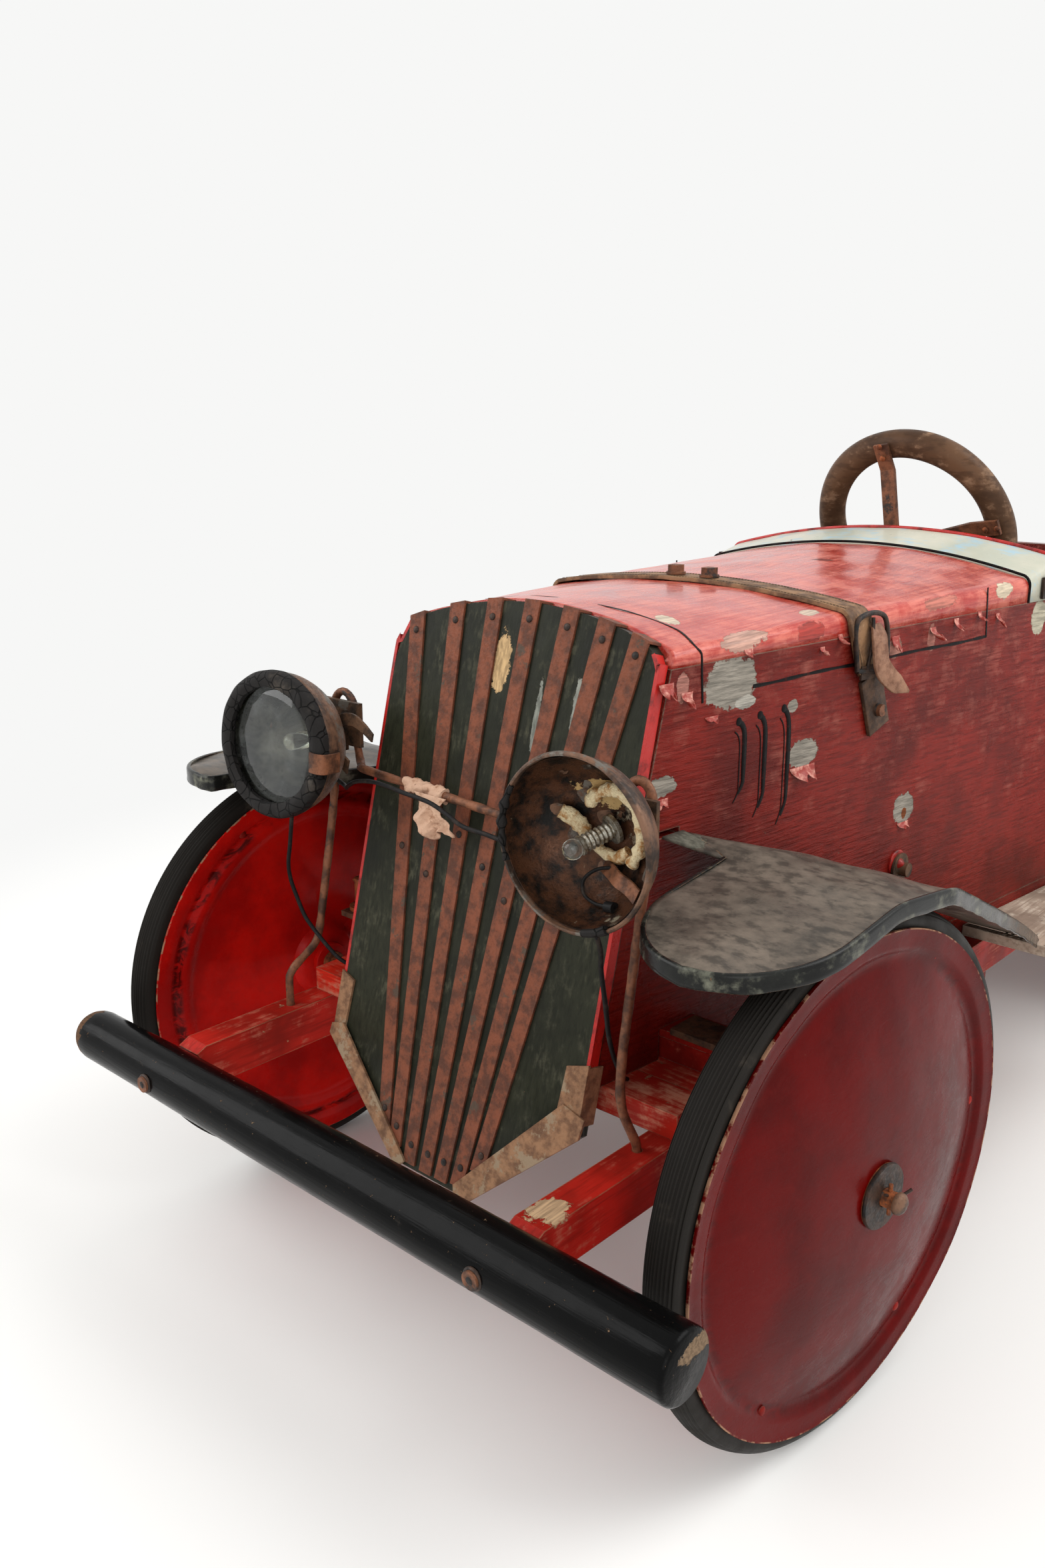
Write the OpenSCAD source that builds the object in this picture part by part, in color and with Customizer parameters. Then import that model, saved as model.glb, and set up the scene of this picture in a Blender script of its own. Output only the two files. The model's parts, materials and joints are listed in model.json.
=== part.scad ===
// Wooden pedal car: a red open two-pedal car with a raked slatted grille, two lamps,
// a pole bumper, folded mudguards, a strapped hood and pressed-steel disc wheels.
// Nose toward -Y, left and right as seen from the front, ground at z = 0.
// Inside the modules y = 0 is the front axle; place() sets the origin midway along the car.

/* [Wheels] */
// Radius over the tyre tread
wheel_r = 152.4; // [149:0.1:155]
// Radius of the pressed disc's outer edge
disc_edge_r = 142; // [139:0.5:144]
// Radius of the channel floor that the tyre sits on
channel_r = 134; // [131:0.5:136]
// Width between the two disc edges
wheel_w = 24; // [22:0.5:26]
// Sheet thickness of the pressed discs
disc_t = 2; // [1.6:0.1:2.4]
// Height of the domed centre over the disc edge
dome_h = 13; // [10:0.5:15]
// Distance from the middle of the car to the outer disc edge
wheel_face_x = 236; // [234:0.5:242]
// Distance between front and rear axle
wheelbase = 780; // [760:5:810]
// Radius of axle rods, spindles and kingpins
axle_r = 5; // [4.5:0.1:5.5]
// Radius of the hub sleeve
hub_r = 9; // [8:0.5:11]
// How far the hub sleeve stands out behind the wheel
hub_back = 8; // [6:0.5:10]
// How far an axle end stands out past the dome
axle_stub = 12; // [10:0.5:13]
// Radial running clearance of every turning fit
run_gap = 0.05; // [0.03:0.01:0.08]

/* [Frame] */
// Distance from the middle of the car to the inside of a rail
rail_in_x = 133.2; // [131:0.2:134]
// Width of a rail
rail_w = 20; // [18:0.5:21]
// Height of a rail
rail_h = 28.6; // [26:0.2:31]
// Height of the rail tops over the ground
rail_top_z = 165.6; // [164:0.2:167]
// Length of the rails behind the rear axle
rail_tail = 60; // [45:5:90]
// Thickness of the cross planks on the rails
plank_t = 16.2; // [15.5:0.1:17]
// Front edge of the cross planks
plank_front_y = -55.3; // [-57:0.1:-53]
// Joint between the two cross planks
plank_joint_y = -27.5; // [-31:0.1:-23]
// Rear edge of the cross planks
plank_rear_y = 22; // [20:0.5:24]
// Half length of the cross planks and blocks
plank_half_x = 151; // [149:0.5:151.5]
// Thickness of the block on the planks
block_t = 14.6; // [13:0.1:15.5]
// Thickness of the board that caps the block
block_cap_t = 5; // [4:0.1:5.5]
// Front edge of the block
block_front_y = -6; // [-7:0.5:-4]
// How far the front axle's boards are turned out of square, in degrees
axle_skew = 1.5; // [0:0.1:2]
// Thickness of the bearers under the rails
bearer_t = 16; // [12:0.5:20]

/* [Bumper] */
// Radius of the bumper pole
bumper_r = 18.2; // [17.8:0.1:18.4]
// Radius of the pole toward its left end
bumper_left_r = 16.8; // [16:0.1:17.8]
// Length of the worn left end
bumper_worn = 12; // [4:1:16]
// Length of the bumper pole
bumper_len = 490; // [470:1:500]
// How far in front of the axle the pole lies
bumper_fwd = 182.5; // [182:0.5:188]
// Height of the pole's middle
bumper_z = 153.5; // [151:0.5:156]
// Offset of the pole to the right
bumper_off_x = 9; // [0:0.5:12]
// How much the right end is tipped up, in degrees
bumper_tip = 0.9; // [0:0.1:1.2]

/* [Grille] */
// Half width of the grille board
grille_half_x = 103.5; // [101:0.5:105]
// Rake of the grille, its foot forward, in degrees
grille_rake = 13.87; // [12:0.1:15]
// Where the plane of the grille's face meets the ground
grille_foot_y = -118.6; // [-121:0.1:-117]
// Thickness of the grille board
grille_t = 10; // [8:0.5:12]
// Height along the board of its arched top, at the middle
grille_crown = 456.5; // [454:0.1:458]
// Height along the board of its shoulders
grille_shoulder = 165; // [160:1:172]
// Height along the board of its flat bottom edge
grille_tip = 100; // [96:1:106]
// Half width of the flat bottom edge
grille_tip_half = 28; // [24:1:32]
// Width of an iron strap
slat_w = 12; // [10:0.5:13]
// Thickness of an iron strap
slat_t = 1.6; // [1.2:0.1:2]

/* [Body] */
// Distance from the middle of the car to the body side, at the front axle
side_x0 = 106.2; // [105.5:0.1:107]
// Flare of the body sides, in degrees
side_flare = 5.07; // [4.6:0.05:5.4]
// Thickness of the side boards
side_t = 12; // [10:0.5:13]
// Where the flared part of a side ends and the straight part begins
side_bend_y = 470; // [455:5:485]
// Height of the top edge of the side boards under the hood
side_top_z = 415.5; // [412:0.5:415.5]
// Height of the hood's outer edge at the grille
hood_front_z = 425.5; // [424:0.5:427]
// Rise of the hood's arch over its edge at the grille
hood_front_rise = 17.5; // [16:0.5:19]
// Height of the hood's outer edge under the strap
hood_mid_z = 430.5; // [429:0.5:432]
// Rise of the sagged hood under the strap
hood_mid_rise = 9; // [7:0.5:14]
// Height of the hood's outer edge at the cowl
hood_edge_z = 433; // [431:0.5:435]
// Rise of the hood's arch over its edge at the cowl
hood_rise = 17; // [15:0.5:19]
// Thickness of the hood board
hood_t = 9; // [7:0.5:10]
// Radius of the hood's rounded edges
hood_round = 8; // [6:0.5:9]
// Rear end of the hood, where the cowl band begins
hood_rear_y = 387; // [384:1:390]
// Length of the cowl band
cowl_len = 41; // [38:1:44]
// Height that the cowl band climbs to its rear edge
cowl_climb = 9.5; // [8:0.5:11]
// How much the cowl's rear edge leans to the left, rise for each mm across
cowl_lean = 0.03; // [0:0.005:0.04]
// Thickness of the cowl band
cowl_t = 6; // [5:0.5:7]
// Thickness of the dashboard
dash_t = 10; // [8:0.5:12]
// Height of the dashboard's lower edge
dash_bottom_z = 332; // [325:1:340]
// Lowest height of the cockpit edge
cockpit_z = 372; // [365:1:380]
// Height of the seat board's top
seat_z = 262; // [258:1:268]
// Thickness of seat, backrest, tail and floor boards
board_t = 12; // [10:0.5:13]
// Front edge of the seat board
seat_front_y = 575; // [565:5:590]
// Face of the backrest
back_y = 772; // [768:1:778]
// Height of the backrest's top
back_top_z = 424; // [420:1:428]
// How far the tail reaches behind the rear axle
tail_over = 225; // [215:5:235]
// Height of the deck at the tail
tail_z = 305; // [295:1:315]
// Thickness of the rear deck
deck_t = 8; // [6:0.5:9]

/* [Mudguards] */
// Height of the front mudguard at its bend over the wheel
guard_z = 315; // [313:0.5:318]
// Distance from the middle of the car to the outer edge of a mudguard
guard_out_x = 247; // [245:0.5:249]
// How far the front lobe reaches before the axle
guard_nose = 112; // [105:1:118]
// Drop of the front lobe for each mm forward
guard_droop = 0.12; // [0.08:0.01:0.18]
// The same on the left mudguard, which is bent up a little
guard_left_droop = -0.06; // [-0.08:0.01:0.1]
// Sheet thickness
guard_t = 2; // [1.6:0.1:2.4]
// Depth of the turned-down edge
guard_lip = 8; // [6:0.5:9]
// Thickness of a running board
step_t = 8; // [7:0.5:9]
// Front end of the running boards
step_front_y = 338; // [334:1:345]
// Rear end of the running boards
step_rear_y = 580; // [570:1:590]
// Outer edge of the running boards
step_out_x = 238; // [225:1:244]

/* [Steering] */
// Distance from the middle of the car to a kingpin
kingpin_x = 164; // [163:0.5:166]
// Steering angle of the front wheels at rest, in degrees
steer_rest = -4.2; // [-6:0.1:0]
// How much less the left wheel is turned than its arm, in degrees
wheel_toe = 1.3; // [0:0.1:2]
// Length of a steering arm, and of the arm on the column
arm_len = 50; // [46:1:52]
// Width of a steering arm
arm_w = 12; // [10:0.5:12]
// Radius of the tie rod
tie_r = 4; // [3.5:0.1:4.2]
// Slope of the steering column, in degrees
column_tilt = 23.5; // [22.5:0.1:24.5]
// Radius of the steering column
column_r = 6; // [5:0.1:6.5]
// Rear end of the column, at the steering wheel's hub
column_top_y = 450; // [447:0.5:453]
// Height of the column's rear end
column_top_z = 443; // [441:0.5:445]
// Radius of the steering rim, to the middle of its section
rim_r = 77; // [74:0.5:80]
// Radius of the rim's section
rim_tube = 11.8; // [11:0.1:12.5]
// How far the rim stands behind the hub
rim_dish = 34; // [30:0.5:37]
// Turn of the spokes at rest, in degrees
spoke_turn = 9; // [0:0.5:15]
// Width of a spoke
spoke_w = 12.5; // [11:0.5:15]
// Thickness of a spoke
spoke_t = 3; // [2.5:0.1:3.5]

/* [Pedals] */
// How far behind the front axle the pedal shaft lies
pedal_y = 238; // [235:1:242]
// Height of the pedal shaft
pedal_z = 244; // [242:0.5:247]
// Throw of both crankshafts
throw = 45; // [40:0.5:47]
// Turn of both crankshafts at rest, in degrees
crank_rest = 35; // [0:1:60]
// Thickness of a crank web
web_t = 5; // [4:0.5:6]
// Width of a crank web
web_w = 15; // [13:0.5:16]
// Width of a connecting rod
rod_w = 16; // [14:0.5:17]
// Thickness of a connecting rod
rod_t = 4; // [3:0.5:5]
// Distance from the middle of the car to a connecting rod
rod_x = 16; // [14:0.5:18]
// Length of a pedal block across the car
pedal_len = 62; // [56:1:66]
// Depth of a pedal block
pedal_d = 70; // [60:1:74]
// Thickness of a pedal block
pedal_t = 20; // [17:0.5:22]

/* [Lamps] */
// Radius of a lamp shell at its mouth
lamp_r = 46; // [45:0.5:47]
// Depth of a lamp shell
lamp_depth = 40; // [37:0.5:42]
// Sheet thickness of a lamp shell
lamp_t = 1.5; // [1.2:0.1:2]
// Distance from the middle of the car to the right lamp
lamp_right_x = 118; // [116:0.5:120]
// Distance from the middle of the car to the left lamp
lamp_left_x = 138.5; // [137:0.5:140]
// How far before the axle the right lamp's mouth is
lamp_right_fwd = 103; // [101:0.5:105]
// How far before the axle the left lamp's mouth is
lamp_left_fwd = 90; // [88:0.5:92]
// Height of the right lamp
lamp_right_z = 341.5; // [340:0.5:343]
// Height of the left lamp
lamp_left_z = 348; // [346:0.5:350]
// How far the left lamp looks up, in degrees
lamp_left_up = 4.5; // [0:0.5:6]
// Turn of the right lamp outward, in degrees
lamp_right_turn = 3; // [0:0.5:5]
// Turn of the left lamp toward the middle, in degrees
lamp_left_turn = 5; // [3:0.5:9]
// Radius of the lamp rods
lamp_rod_r = 2.7; // [2.3:0.1:3]
// Radius of the bulb globes
bulb_r = 5.7; // [5.4:0.1:6]
// Radius of the lamp wires
wire_r = 1.4; // [1.2:0.1:1.6]

/* [Strap] */
// Width of the leather hood strap
strap_w = 25; // [22:0.5:27]
// Thickness of the leather
strap_t = 2.6; // [2:0.1:3]
// How far behind the axle the middle of the strap lies
strap_y = 168; // [164:1:172]
// How far the strap leans back where it reaches its buckle
strap_lean = 14; // [10:1:16]

/* [Hidden] */

RIGHT = 1;
LEFT = -1;
eps = 0.01;
touch = 0.3;
far = 2000;
rail_out_x = rail_in_x + rail_w;
rail_mid_x = rail_in_x + rail_w / 2;
rail_bottom_z = rail_top_z - rail_h;
plank_top_z = rail_top_z + plank_t;
block_top_z = plank_top_z + block_t + block_cap_t;
wheel_mid_x = wheel_face_x - wheel_w / 2;
hub_front_s = wheel_w / 2 + dome_h;
axle_end_x = wheel_mid_x + hub_front_s + axle_stub;
grille_back = grille_t / cos(grille_rake);
flare = tan(side_flare);
tail_y = wheelbase + tail_over;
screw_head = 1.8;
front_y = -bumper_fwd - bumper_r - screw_head + 0.2;
origin_y = -(front_y + tail_y) / 2;
cowl_rear_y = hood_rear_y + cowl_len;
wood_red = "#8e1c1c";
iron = "#6b4a3a";
black = "#1c1c1c";

// Kingpin places on the skewed axle
pin_x = kingpin_x * cos(axle_skew);
pin_y = kingpin_x * sin(axle_skew);

// Moves the front axle's frame so that the origin lies midway along the car
module place() translate([0, origin_y, 0]) children();
module on_side(s) mirror([s > 0 ? 0 : 1, 0, 0]) children();
module skewed() rotate([0, 0, axle_skew]) children();

// Outer face of a body side at a place along the car
function side_x(y) = side_x0 + flare * min(y, side_bend_y);
// Straight rod between two points
module rod(a, b, r) {
    d = b - a;
    translate(a) rotate([0, acos(d[2] / norm(d)), atan2(d[1], d[0])]) cylinder(h = norm(d), r = r, $fn = 24);
}
// Round bar along X
module x_rod(x0, x1, r) translate([min(x0, x1), 0, 0]) rotate([0, 90, 0]) cylinder(h = abs(x1 - x0), r = r, $fn = 48);
// Stands a drawing of (y, z) points upright and gives it a thickness along X from x0 outward
module upright(x0, t) translate([x0, 0, 0]) rotate([90, 0, 90]) linear_extrude(t) children();

// Rails and cross boards

module rail(s) color(wood_red) place() on_side(s)
    difference() {
        upright(rail_in_x, rail_w) polygon([
            [-bumper_fwd + 8, rail_bottom_z + 4], [-bumper_fwd + 14, rail_bottom_z], [wheelbase + rail_tail, rail_bottom_z],
            [wheelbase + rail_tail, rail_top_z], [-bumper_fwd + 22, rail_top_z], [-bumper_fwd + 8, rail_top_z - 7]]);
        // Scribed round the pole
        translate([s * bumper_off_x, -bumper_fwd, bumper_z]) rotate([0, -s * bumper_tip, 0]) x_rod(-far / 2, far / 2, bumper_r + 0.05);
        // Bearing of the rear axle
        translate([0, wheelbase, wheel_r]) x_rod(rail_in_x - 1, rail_out_x + 1, axle_r + run_gap);
        // Socket of the lamp rod
        translate([0, 0, rail_top_z - rod_sink]) translate(lamp_foot(s)) cylinder(h = far, r = lamp_rod_r + 0.1, $fn = 24);
    }
module rail_right() rail(RIGHT);
module rail_left() rail(LEFT);

block_lap = 2;
module cross_board(y0, y1, z0, t, half) translate([-half, y0, z0]) cube([2 * half, y1 - y0, t]);

module cross_planks() color(wood_red) place() skewed() {
    cross_board(plank_front_y, plank_joint_y - 0.15, rail_top_z, plank_t, plank_half_x);
    cross_board(plank_joint_y + 0.15, plank_rear_y, rail_top_z, plank_t, plank_half_x);
}
module axle_blocks() color(wood_red) place() skewed() {
    cross_board(block_front_y, plank_rear_y - 1, plank_top_z, block_t, plank_half_x - 1);
    cross_board(block_front_y - block_lap, plank_rear_y - 1, plank_top_z + block_t, block_cap_t, plank_half_x);
}
bearer_ys = [310, 462];
bearer_w = 40;
module cross_bearers() color(wood_red) place()
    for (y = bearer_ys) cross_board(y, y + bearer_w, rail_bottom_z - bearer_t, bearer_t, rail_out_x);

// Radius of the pole at x: it thickens up to its middle
function bumper_r_at(x) = bumper_left_r + (bumper_r - bumper_left_r)
    * min(1, (x - bumper_off_x + bumper_len / 2 - bumper_worn) / (bumper_len / 2 - bumper_worn));
module bumper() color(black) place()
    translate([bumper_off_x, -bumper_fwd, bumper_z]) rotate([0, -bumper_tip, 0])
        translate([-bumper_len / 2, 0, 0]) rotate([0, 90, 0]) rotate_extrude($fn = 96)
            polygon([[0, 0], [bumper_left_r - 7, 0], [bumper_left_r - 4, 1.5], [bumper_left_r - 1, bumper_worn / 2],
                [bumper_left_r, bumper_worn], [bumper_r, bumper_len / 2], [bumper_r, bumper_len - 1.5],
                [bumper_r - 1.5, bumper_len], [0, bumper_len]]);

// Grille: a flat board in a raked plane, drawn as (x, height along the board)

grille_curve = 0.0019;
grille_mid_x = 8;
function grille_top(x) = grille_crown - grille_curve * pow(x - grille_mid_x, 2);
module on_grille() translate([0, grille_foot_y, 0]) rotate([-grille_rake, 0, 0]) rotate([90, 0, 0]) children();
// Upper corners: drop below the crown, and distance in from the edge
right_corner = [[0.5, 45], [0, 28], [5, 19]];
left_corner = [[11.5, 19.4], [3.5, 36], [0, 52]];
module grille_outline()
    polygon(concat(
        [[-grille_tip_half, grille_tip], [grille_tip_half, grille_tip], [grille_half_x, grille_shoulder]],
        [for (c = right_corner) [grille_half_x - c[0], grille_crown - c[1]]],
        [for (i = [0 : 12]) let (x = 92 - 14.5 * i) if (x > -88) [x, grille_top(x)]],
        [for (c = left_corner) [-grille_half_x + c[0], grille_crown - c[1]]],
        [[-grille_half_x, grille_shoulder]]));

module grille_board() color("#2b2f26") place() on_grille()
    translate([0, 0, -grille_t]) linear_extrude(grille_t) grille_outline();

// Feet and heads of the seven iron straps, left to right
slat_heads = [-87, -53, -22, 8, 38, 65, 90];
slat_feet = [[-45, 118], [-33, 110], [-18.5, 103], [-4, 102.5], [9.5, 103], [23, 105], [37, 119]];
slat_lift = 0.1;
module grille_slats() color(iron) place() on_grille()
    for (i = [0 : 6]) let (foot = slat_feet[i], w = slat_w / 2, x0 = slat_heads[i] - w, x1 = slat_heads[i] + w,
        top0 = grille_top(x0) + slat_lift, top1 = grille_top(x1) + slat_lift) {
        linear_extrude(slat_t)
            polygon([[foot[0] - w + 1, foot[1]], [foot[0] + w - 1, foot[1]], [x1, top1 + slat_t], [x0, top0 + slat_t]]);
        // Folded over the board's top edge
        translate([0, 0, -grille_t]) linear_extrude(grille_t + slat_t)
            polygon([[x0, top0], [x1, top1], [x1, top1 + slat_t], [x0, top0 + slat_t]]);
    }

trim_t = slat_t + slat_lift;
module trim(outline) linear_extrude(trim_t) polygon(outline);
module grille_trims() color(iron) place() on_grille() {
    edge = grille_half_x;
    side_flap = 12;
    // Right corner and its flap on the side, then the right lower edge
    trim([[88, 172], [edge + trim_t, 172], [edge + trim_t, 208], [90, 203]]);
    translate([edge + touch / 3, 172, -side_flap]) cube([trim_t - touch / 3, 34, side_flap]);
    translate([0, 0, trim_t - eps]) trim([[33, 98], [edge + 4, 166], [edge + 6, 178], [93, 182], [22, 106], [24, 99]]);
    // Left corner and left lower edge
    trim([[-edge - trim_t, 163], [-95, 163], [-93, 199], [-edge - trim_t, 203]]);
    translate([-edge - trim_t, 163, -side_flap]) cube([trim_t - touch / 3, 38, side_flap]);
    translate([0, 0, trim_t - eps]) trim([[-edge - 3, 160], [-27, 97], [-21, 104], [-95, 170], [-edge - 2, 167]]);
}

// Body

// Deck line behind the backrest
function deck_z(y) = back_top_z - 4 - (back_top_z - 4 - tail_z) * pow((y - back_y) / (tail_y - back_y), 2);
function smooth(a, b, n) = [for (i = [0 : n]) let (t = i / n, u = (1 - cos(180 * t)) / 2)
    [a[0] + (b[0] - a[0]) * t, a[1] + (b[1] - a[1]) * u]];
side_front_cut = 3;
belly_y = [95, 135];
notch_gap = 0.6;
notch_shift = side_x0 * tan(axle_skew);
function notch_front_y(s) = block_front_y - block_lap - notch_gap - side_t * sin(side_flare) + s * notch_shift;
function notch_rear_y(s) = plank_rear_y - 1 + notch_gap + s * notch_shift;
function side_outline(s) = concat(
    [[grille_foot_y, plank_top_z], [notch_front_y(s), plank_top_z],
     [notch_front_y(s), block_top_z + touch], [notch_rear_y(s), block_top_z + touch]],
    [[notch_rear_y(s), plank_top_z], [tail_y - board_t, plank_top_z]],
    [[tail_y - board_t, deck_z(tail_y - board_t) - deck_t - touch]],
    [for (i = [7 : -1 : 0]) let (y = back_y + (tail_y - board_t - back_y) * i / 8) [y, deck_z(y) - deck_t - touch]],
    smooth([back_y - 25, deck_z(back_y) - deck_t], [back_y - 110, cockpit_z], 8),
    smooth([cowl_rear_y + 95, cockpit_z], [cowl_rear_y + 12, side_top_z], 8),
    [[0, side_top_z], [grille_foot_y, side_top_z]]);

// Sill strip between the board and the rail, with a slanted front end
module sill_drawing() polygon([[belly_y[0], plank_top_z - touch], [belly_y[1], rail_top_z],
    [tail_y - board_t, rail_top_z], [tail_y - board_t, plank_top_z - touch]]);
// A drawing of the side as a board that flares and then runs straight
module bent_board() union() {
    intersection() {
        translate([side_x0, 0, 0]) rotate([0, 0, -side_flare])
            translate([-side_t, 0, 0]) rotate([90, 0, 90]) linear_extrude(side_t) children();
        translate([0, -far / 2, 0]) cube([far, far / 2 + side_bend_y, far]);
    }
    intersection() {
        upright(side_x(side_bend_y) - side_t, side_t) children();
        translate([0, side_bend_y - 0.6, 0]) cube([far, far, far]);
    }
}
module side_board(s) color(wood_red) place() on_side(s) {
    bent_board() sill_drawing();
    difference() {
        bent_board() polygon(side_outline(s));
        // Front edge lies against the back of the grille board
        behind_grille();
        translate([0, pedal_y, pedal_z]) x_rod(0, side_x(pedal_y) + side_t, axle_r + run_gap);
        // Slot for the mudguard's tongue
        translate([side_x(0) - side_t - 2, guard_slot_y[0] - 1, guard_z + 5]) cube([side_t + 6, guard_slot_y[1] - guard_slot_y[0] + 2, 4]);
    }
}
module side_right() side_board(RIGHT);
module side_left() side_board(LEFT);

// Hood and cowl are lofted between arched outlines, each given as
// [place along the car, height of the edge, rise of the arch, lean to the left]
hood_steps = 10;
hood_sections = [
    [-12, hood_front_z, hood_front_rise, 0.01],
    [strap_y, hood_mid_z, hood_mid_rise, 0],
    [hood_rear_y, hood_edge_z, hood_rise, 0.01]];
cowl_sections = [
    [hood_rear_y, hood_edge_z + 1, hood_rise, 0.01],
    [cowl_rear_y, hood_edge_z + 1 + cowl_climb, hood_rise, cowl_lean]];
function between(a, b, y) = a + (b - a) * (y - a[0]) / (b[0] - a[0]);
function hood_at(y) = y < strap_y ? between(hood_sections[0], hood_sections[1], y)
    : between(hood_sections[1], hood_sections[2], y);
function cowl_at(y) = between(cowl_sections[0], cowl_sections[1], y);
// Arched outline grown outward by g, down to height z0
function arch_pts(sec, g, z0) = let (half = side_x(sec[0]) + g, edge = sec[1] + g, rise = sec[2], round = hood_round)
    concat(
        [[half, z0]],
        [for (a = [0 : 22.5 : 67.5]) let (x = half - round + round * cos(a)) [x, edge - round + round * sin(a) + sec[3] * x]],
        [for (i = [1 : hood_steps * 2 - 1]) let (u = 1 - i / hood_steps, x = (half - round * 0.7) * u)
            [x, edge - 0.5 + (rise + 0.5) * (1 - u * u) + sec[3] * x]],
        [for (a = [67.5 : -22.5 : 0]) let (x = -half + round - round * cos(a)) [x, edge - round + round * sin(a) + sec[3] * x]],
        [[-half, z0]]);
module slice(sec, g, z0) translate([0, sec[0] + 0.01, 0]) rotate([90, 0, 0]) linear_extrude(0.02) polygon(arch_pts(sec, g, z0));
module loft(sec_a, sec_b, g, z0) hull() {
    slice(sec_a, g, z0);
    slice(sec_b, g, z0);
}
module hood_body(y0, y1, g, z0) {
    loft(hood_at(y0), hood_at(strap_y), g, z0);
    loft(hood_at(strap_y), hood_at(y1), g, z0);
}
module behind_grille() translate([-far / 2, grille_foot_y + grille_back, 0]) rotate([-grille_rake, 0, 0])
    translate([0, -far, -far / 2]) cube([far, far, far]);
module hood_top() color("#a32020") place()
    difference() {
        hood_body(-30, hood_rear_y, 0, side_top_z);
        hood_body(-40, hood_rear_y + 20, -hood_t, side_top_z - 1);
        behind_grille();
    }

module cowl_body(y0, y1, g, z0) loft(cowl_at(y0), cowl_at(y1), g, z0);
module cowl_band() color("#e4dcc6") place()
    difference() {
        cowl_body(hood_rear_y + 0.05, cowl_rear_y, 0.6, side_top_z);
        cowl_body(hood_rear_y - 1, cowl_rear_y + 1, -cowl_t, side_top_z - 1);
    }

dash_y = cowl_rear_y - dash_t - 4;
module on_column() translate([0, column_top_y, column_top_z]) rotate([column_tilt, 0, 0]) children();
module dashboard() color(wood_red) place()
    difference() {
        intersection() {
            cowl_body(hood_rear_y - 1, cowl_rear_y + 1, -cowl_t - touch / 2, dash_bottom_z);
            translate([-side_x(dash_y) + side_t + touch / 2, dash_y, dash_bottom_z])
                cube([2 * (side_x(dash_y) - side_t - touch / 2), dash_t, far]);
        }
        on_column() rotate([90, 0, 0]) translate([0, 0, -20]) cylinder(h = 120, r = column_r + run_gap, $fn = 48);
    }

floor_gap_x = 46;
module floor_boards() color("#7a3a2c") place()
    for (s = [RIGHT, LEFT]) on_side(s)
        translate([floor_gap_x, bearer_ys[0], rail_bottom_z]) cube([rail_in_x - floor_gap_x - 1, bearer_ys[1] + bearer_w - bearer_ys[0], 9]);

inner_half = side_x(side_bend_y) - side_t;
module seat_board() color("#7a3a2c") place()
    translate([-inner_half + touch / 2, seat_front_y, seat_z - board_t]) cube([2 * inner_half - touch, back_y - seat_front_y, board_t]);
module backrest() color(wood_red) place()
    translate([-inner_half + touch / 2, back_y, seat_z - 40]) cube([2 * inner_half - touch, board_t, back_top_z - seat_z + 40]);
module rear_deck() color("#a32020") place() {
    half = side_x(side_bend_y);
    y0 = back_y + board_t;
    ys = [for (i = [0 : 12]) y0 + (tail_y - y0) * i / 12];
    rotate([90, 0, 90]) translate([0, 0, -half]) linear_extrude(2 * half)
        polygon(concat([for (y = ys) [y, deck_z(y)]], [for (i = [12 : -1 : 0]) [ys[i], deck_z(ys[i]) - deck_t]]));
}
module tail_panel() color(wood_red) place() {
    half = side_x(side_bend_y);
    translate([-half, tail_y - board_t, rail_top_z]) cube([2 * half, board_t, tail_z - deck_t - rail_top_z - 0.2]);
}

// Mudguards: flat panels folded at two lines, with a turned-down edge

guard_slot_y = [-14, 4];
lobe_in_x = 142;
lobe_round = 62;
// Inner edge of the left lobe, cut back round the lamp
lobe_cut_x = 184;
left_inner = [[lobe_in_x, 0], [148, -28], [150, -46], [lobe_cut_x, -72]];
lobe_cut_front = [lobe_cut_x, -104];
function lobe_arc(a0) = let (w = (guard_out_x - lobe_in_x) / 2, mid = (guard_out_x + lobe_in_x) / 2) concat(
    [for (a = [a0 : 15 : 360]) [mid + w * cos(a), -guard_nose + lobe_round + lobe_round * sin(a)]], [[guard_out_x, 0]]);
function lobe_pts(s) = s > 0 ? concat([[lobe_in_x, 0]], lobe_arc(180)) : concat(left_inner, [lobe_cut_front], lobe_arc(270));
// The lobe in convex panels
function lobe_panels(s) = s > 0 ? [lobe_pts(s)]
    : [concat(left_inner, [[lobe_cut_x, 0]]), concat([[lobe_cut_x, 0], lobe_cut_front], lobe_arc(270))];
function guard_point(p, s) = [p[0], p[1], guard_z + (s > 0 ? guard_droop : guard_left_droop) * min(p[1], 0)];
module panel(pts, t) hull() for (p = pts) translate([p[0], p[1], p[2] - t]) cylinder(h = t, r = 0.8, $fn = 8);
module lip(pts) for (i = [0 : len(pts) - 2]) hull() for (p = [pts[i], pts[i + 1]])
    translate([p[0], p[1], p[2] - guard_lip]) cylinder(h = guard_lip - 0.5, r = 0.8, $fn = 8);
crest_out = [guard_out_x + 2, 56, 309];
step_top_z = rail_top_z + step_t;
guard_foot_out = [192, 346, step_top_z + guard_t + 0.1];
guard_foot_in = [side_x(346) + 1.3, 346, step_top_z + guard_t + 0.1];
tongue_z = guard_z + 7.5;

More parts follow.
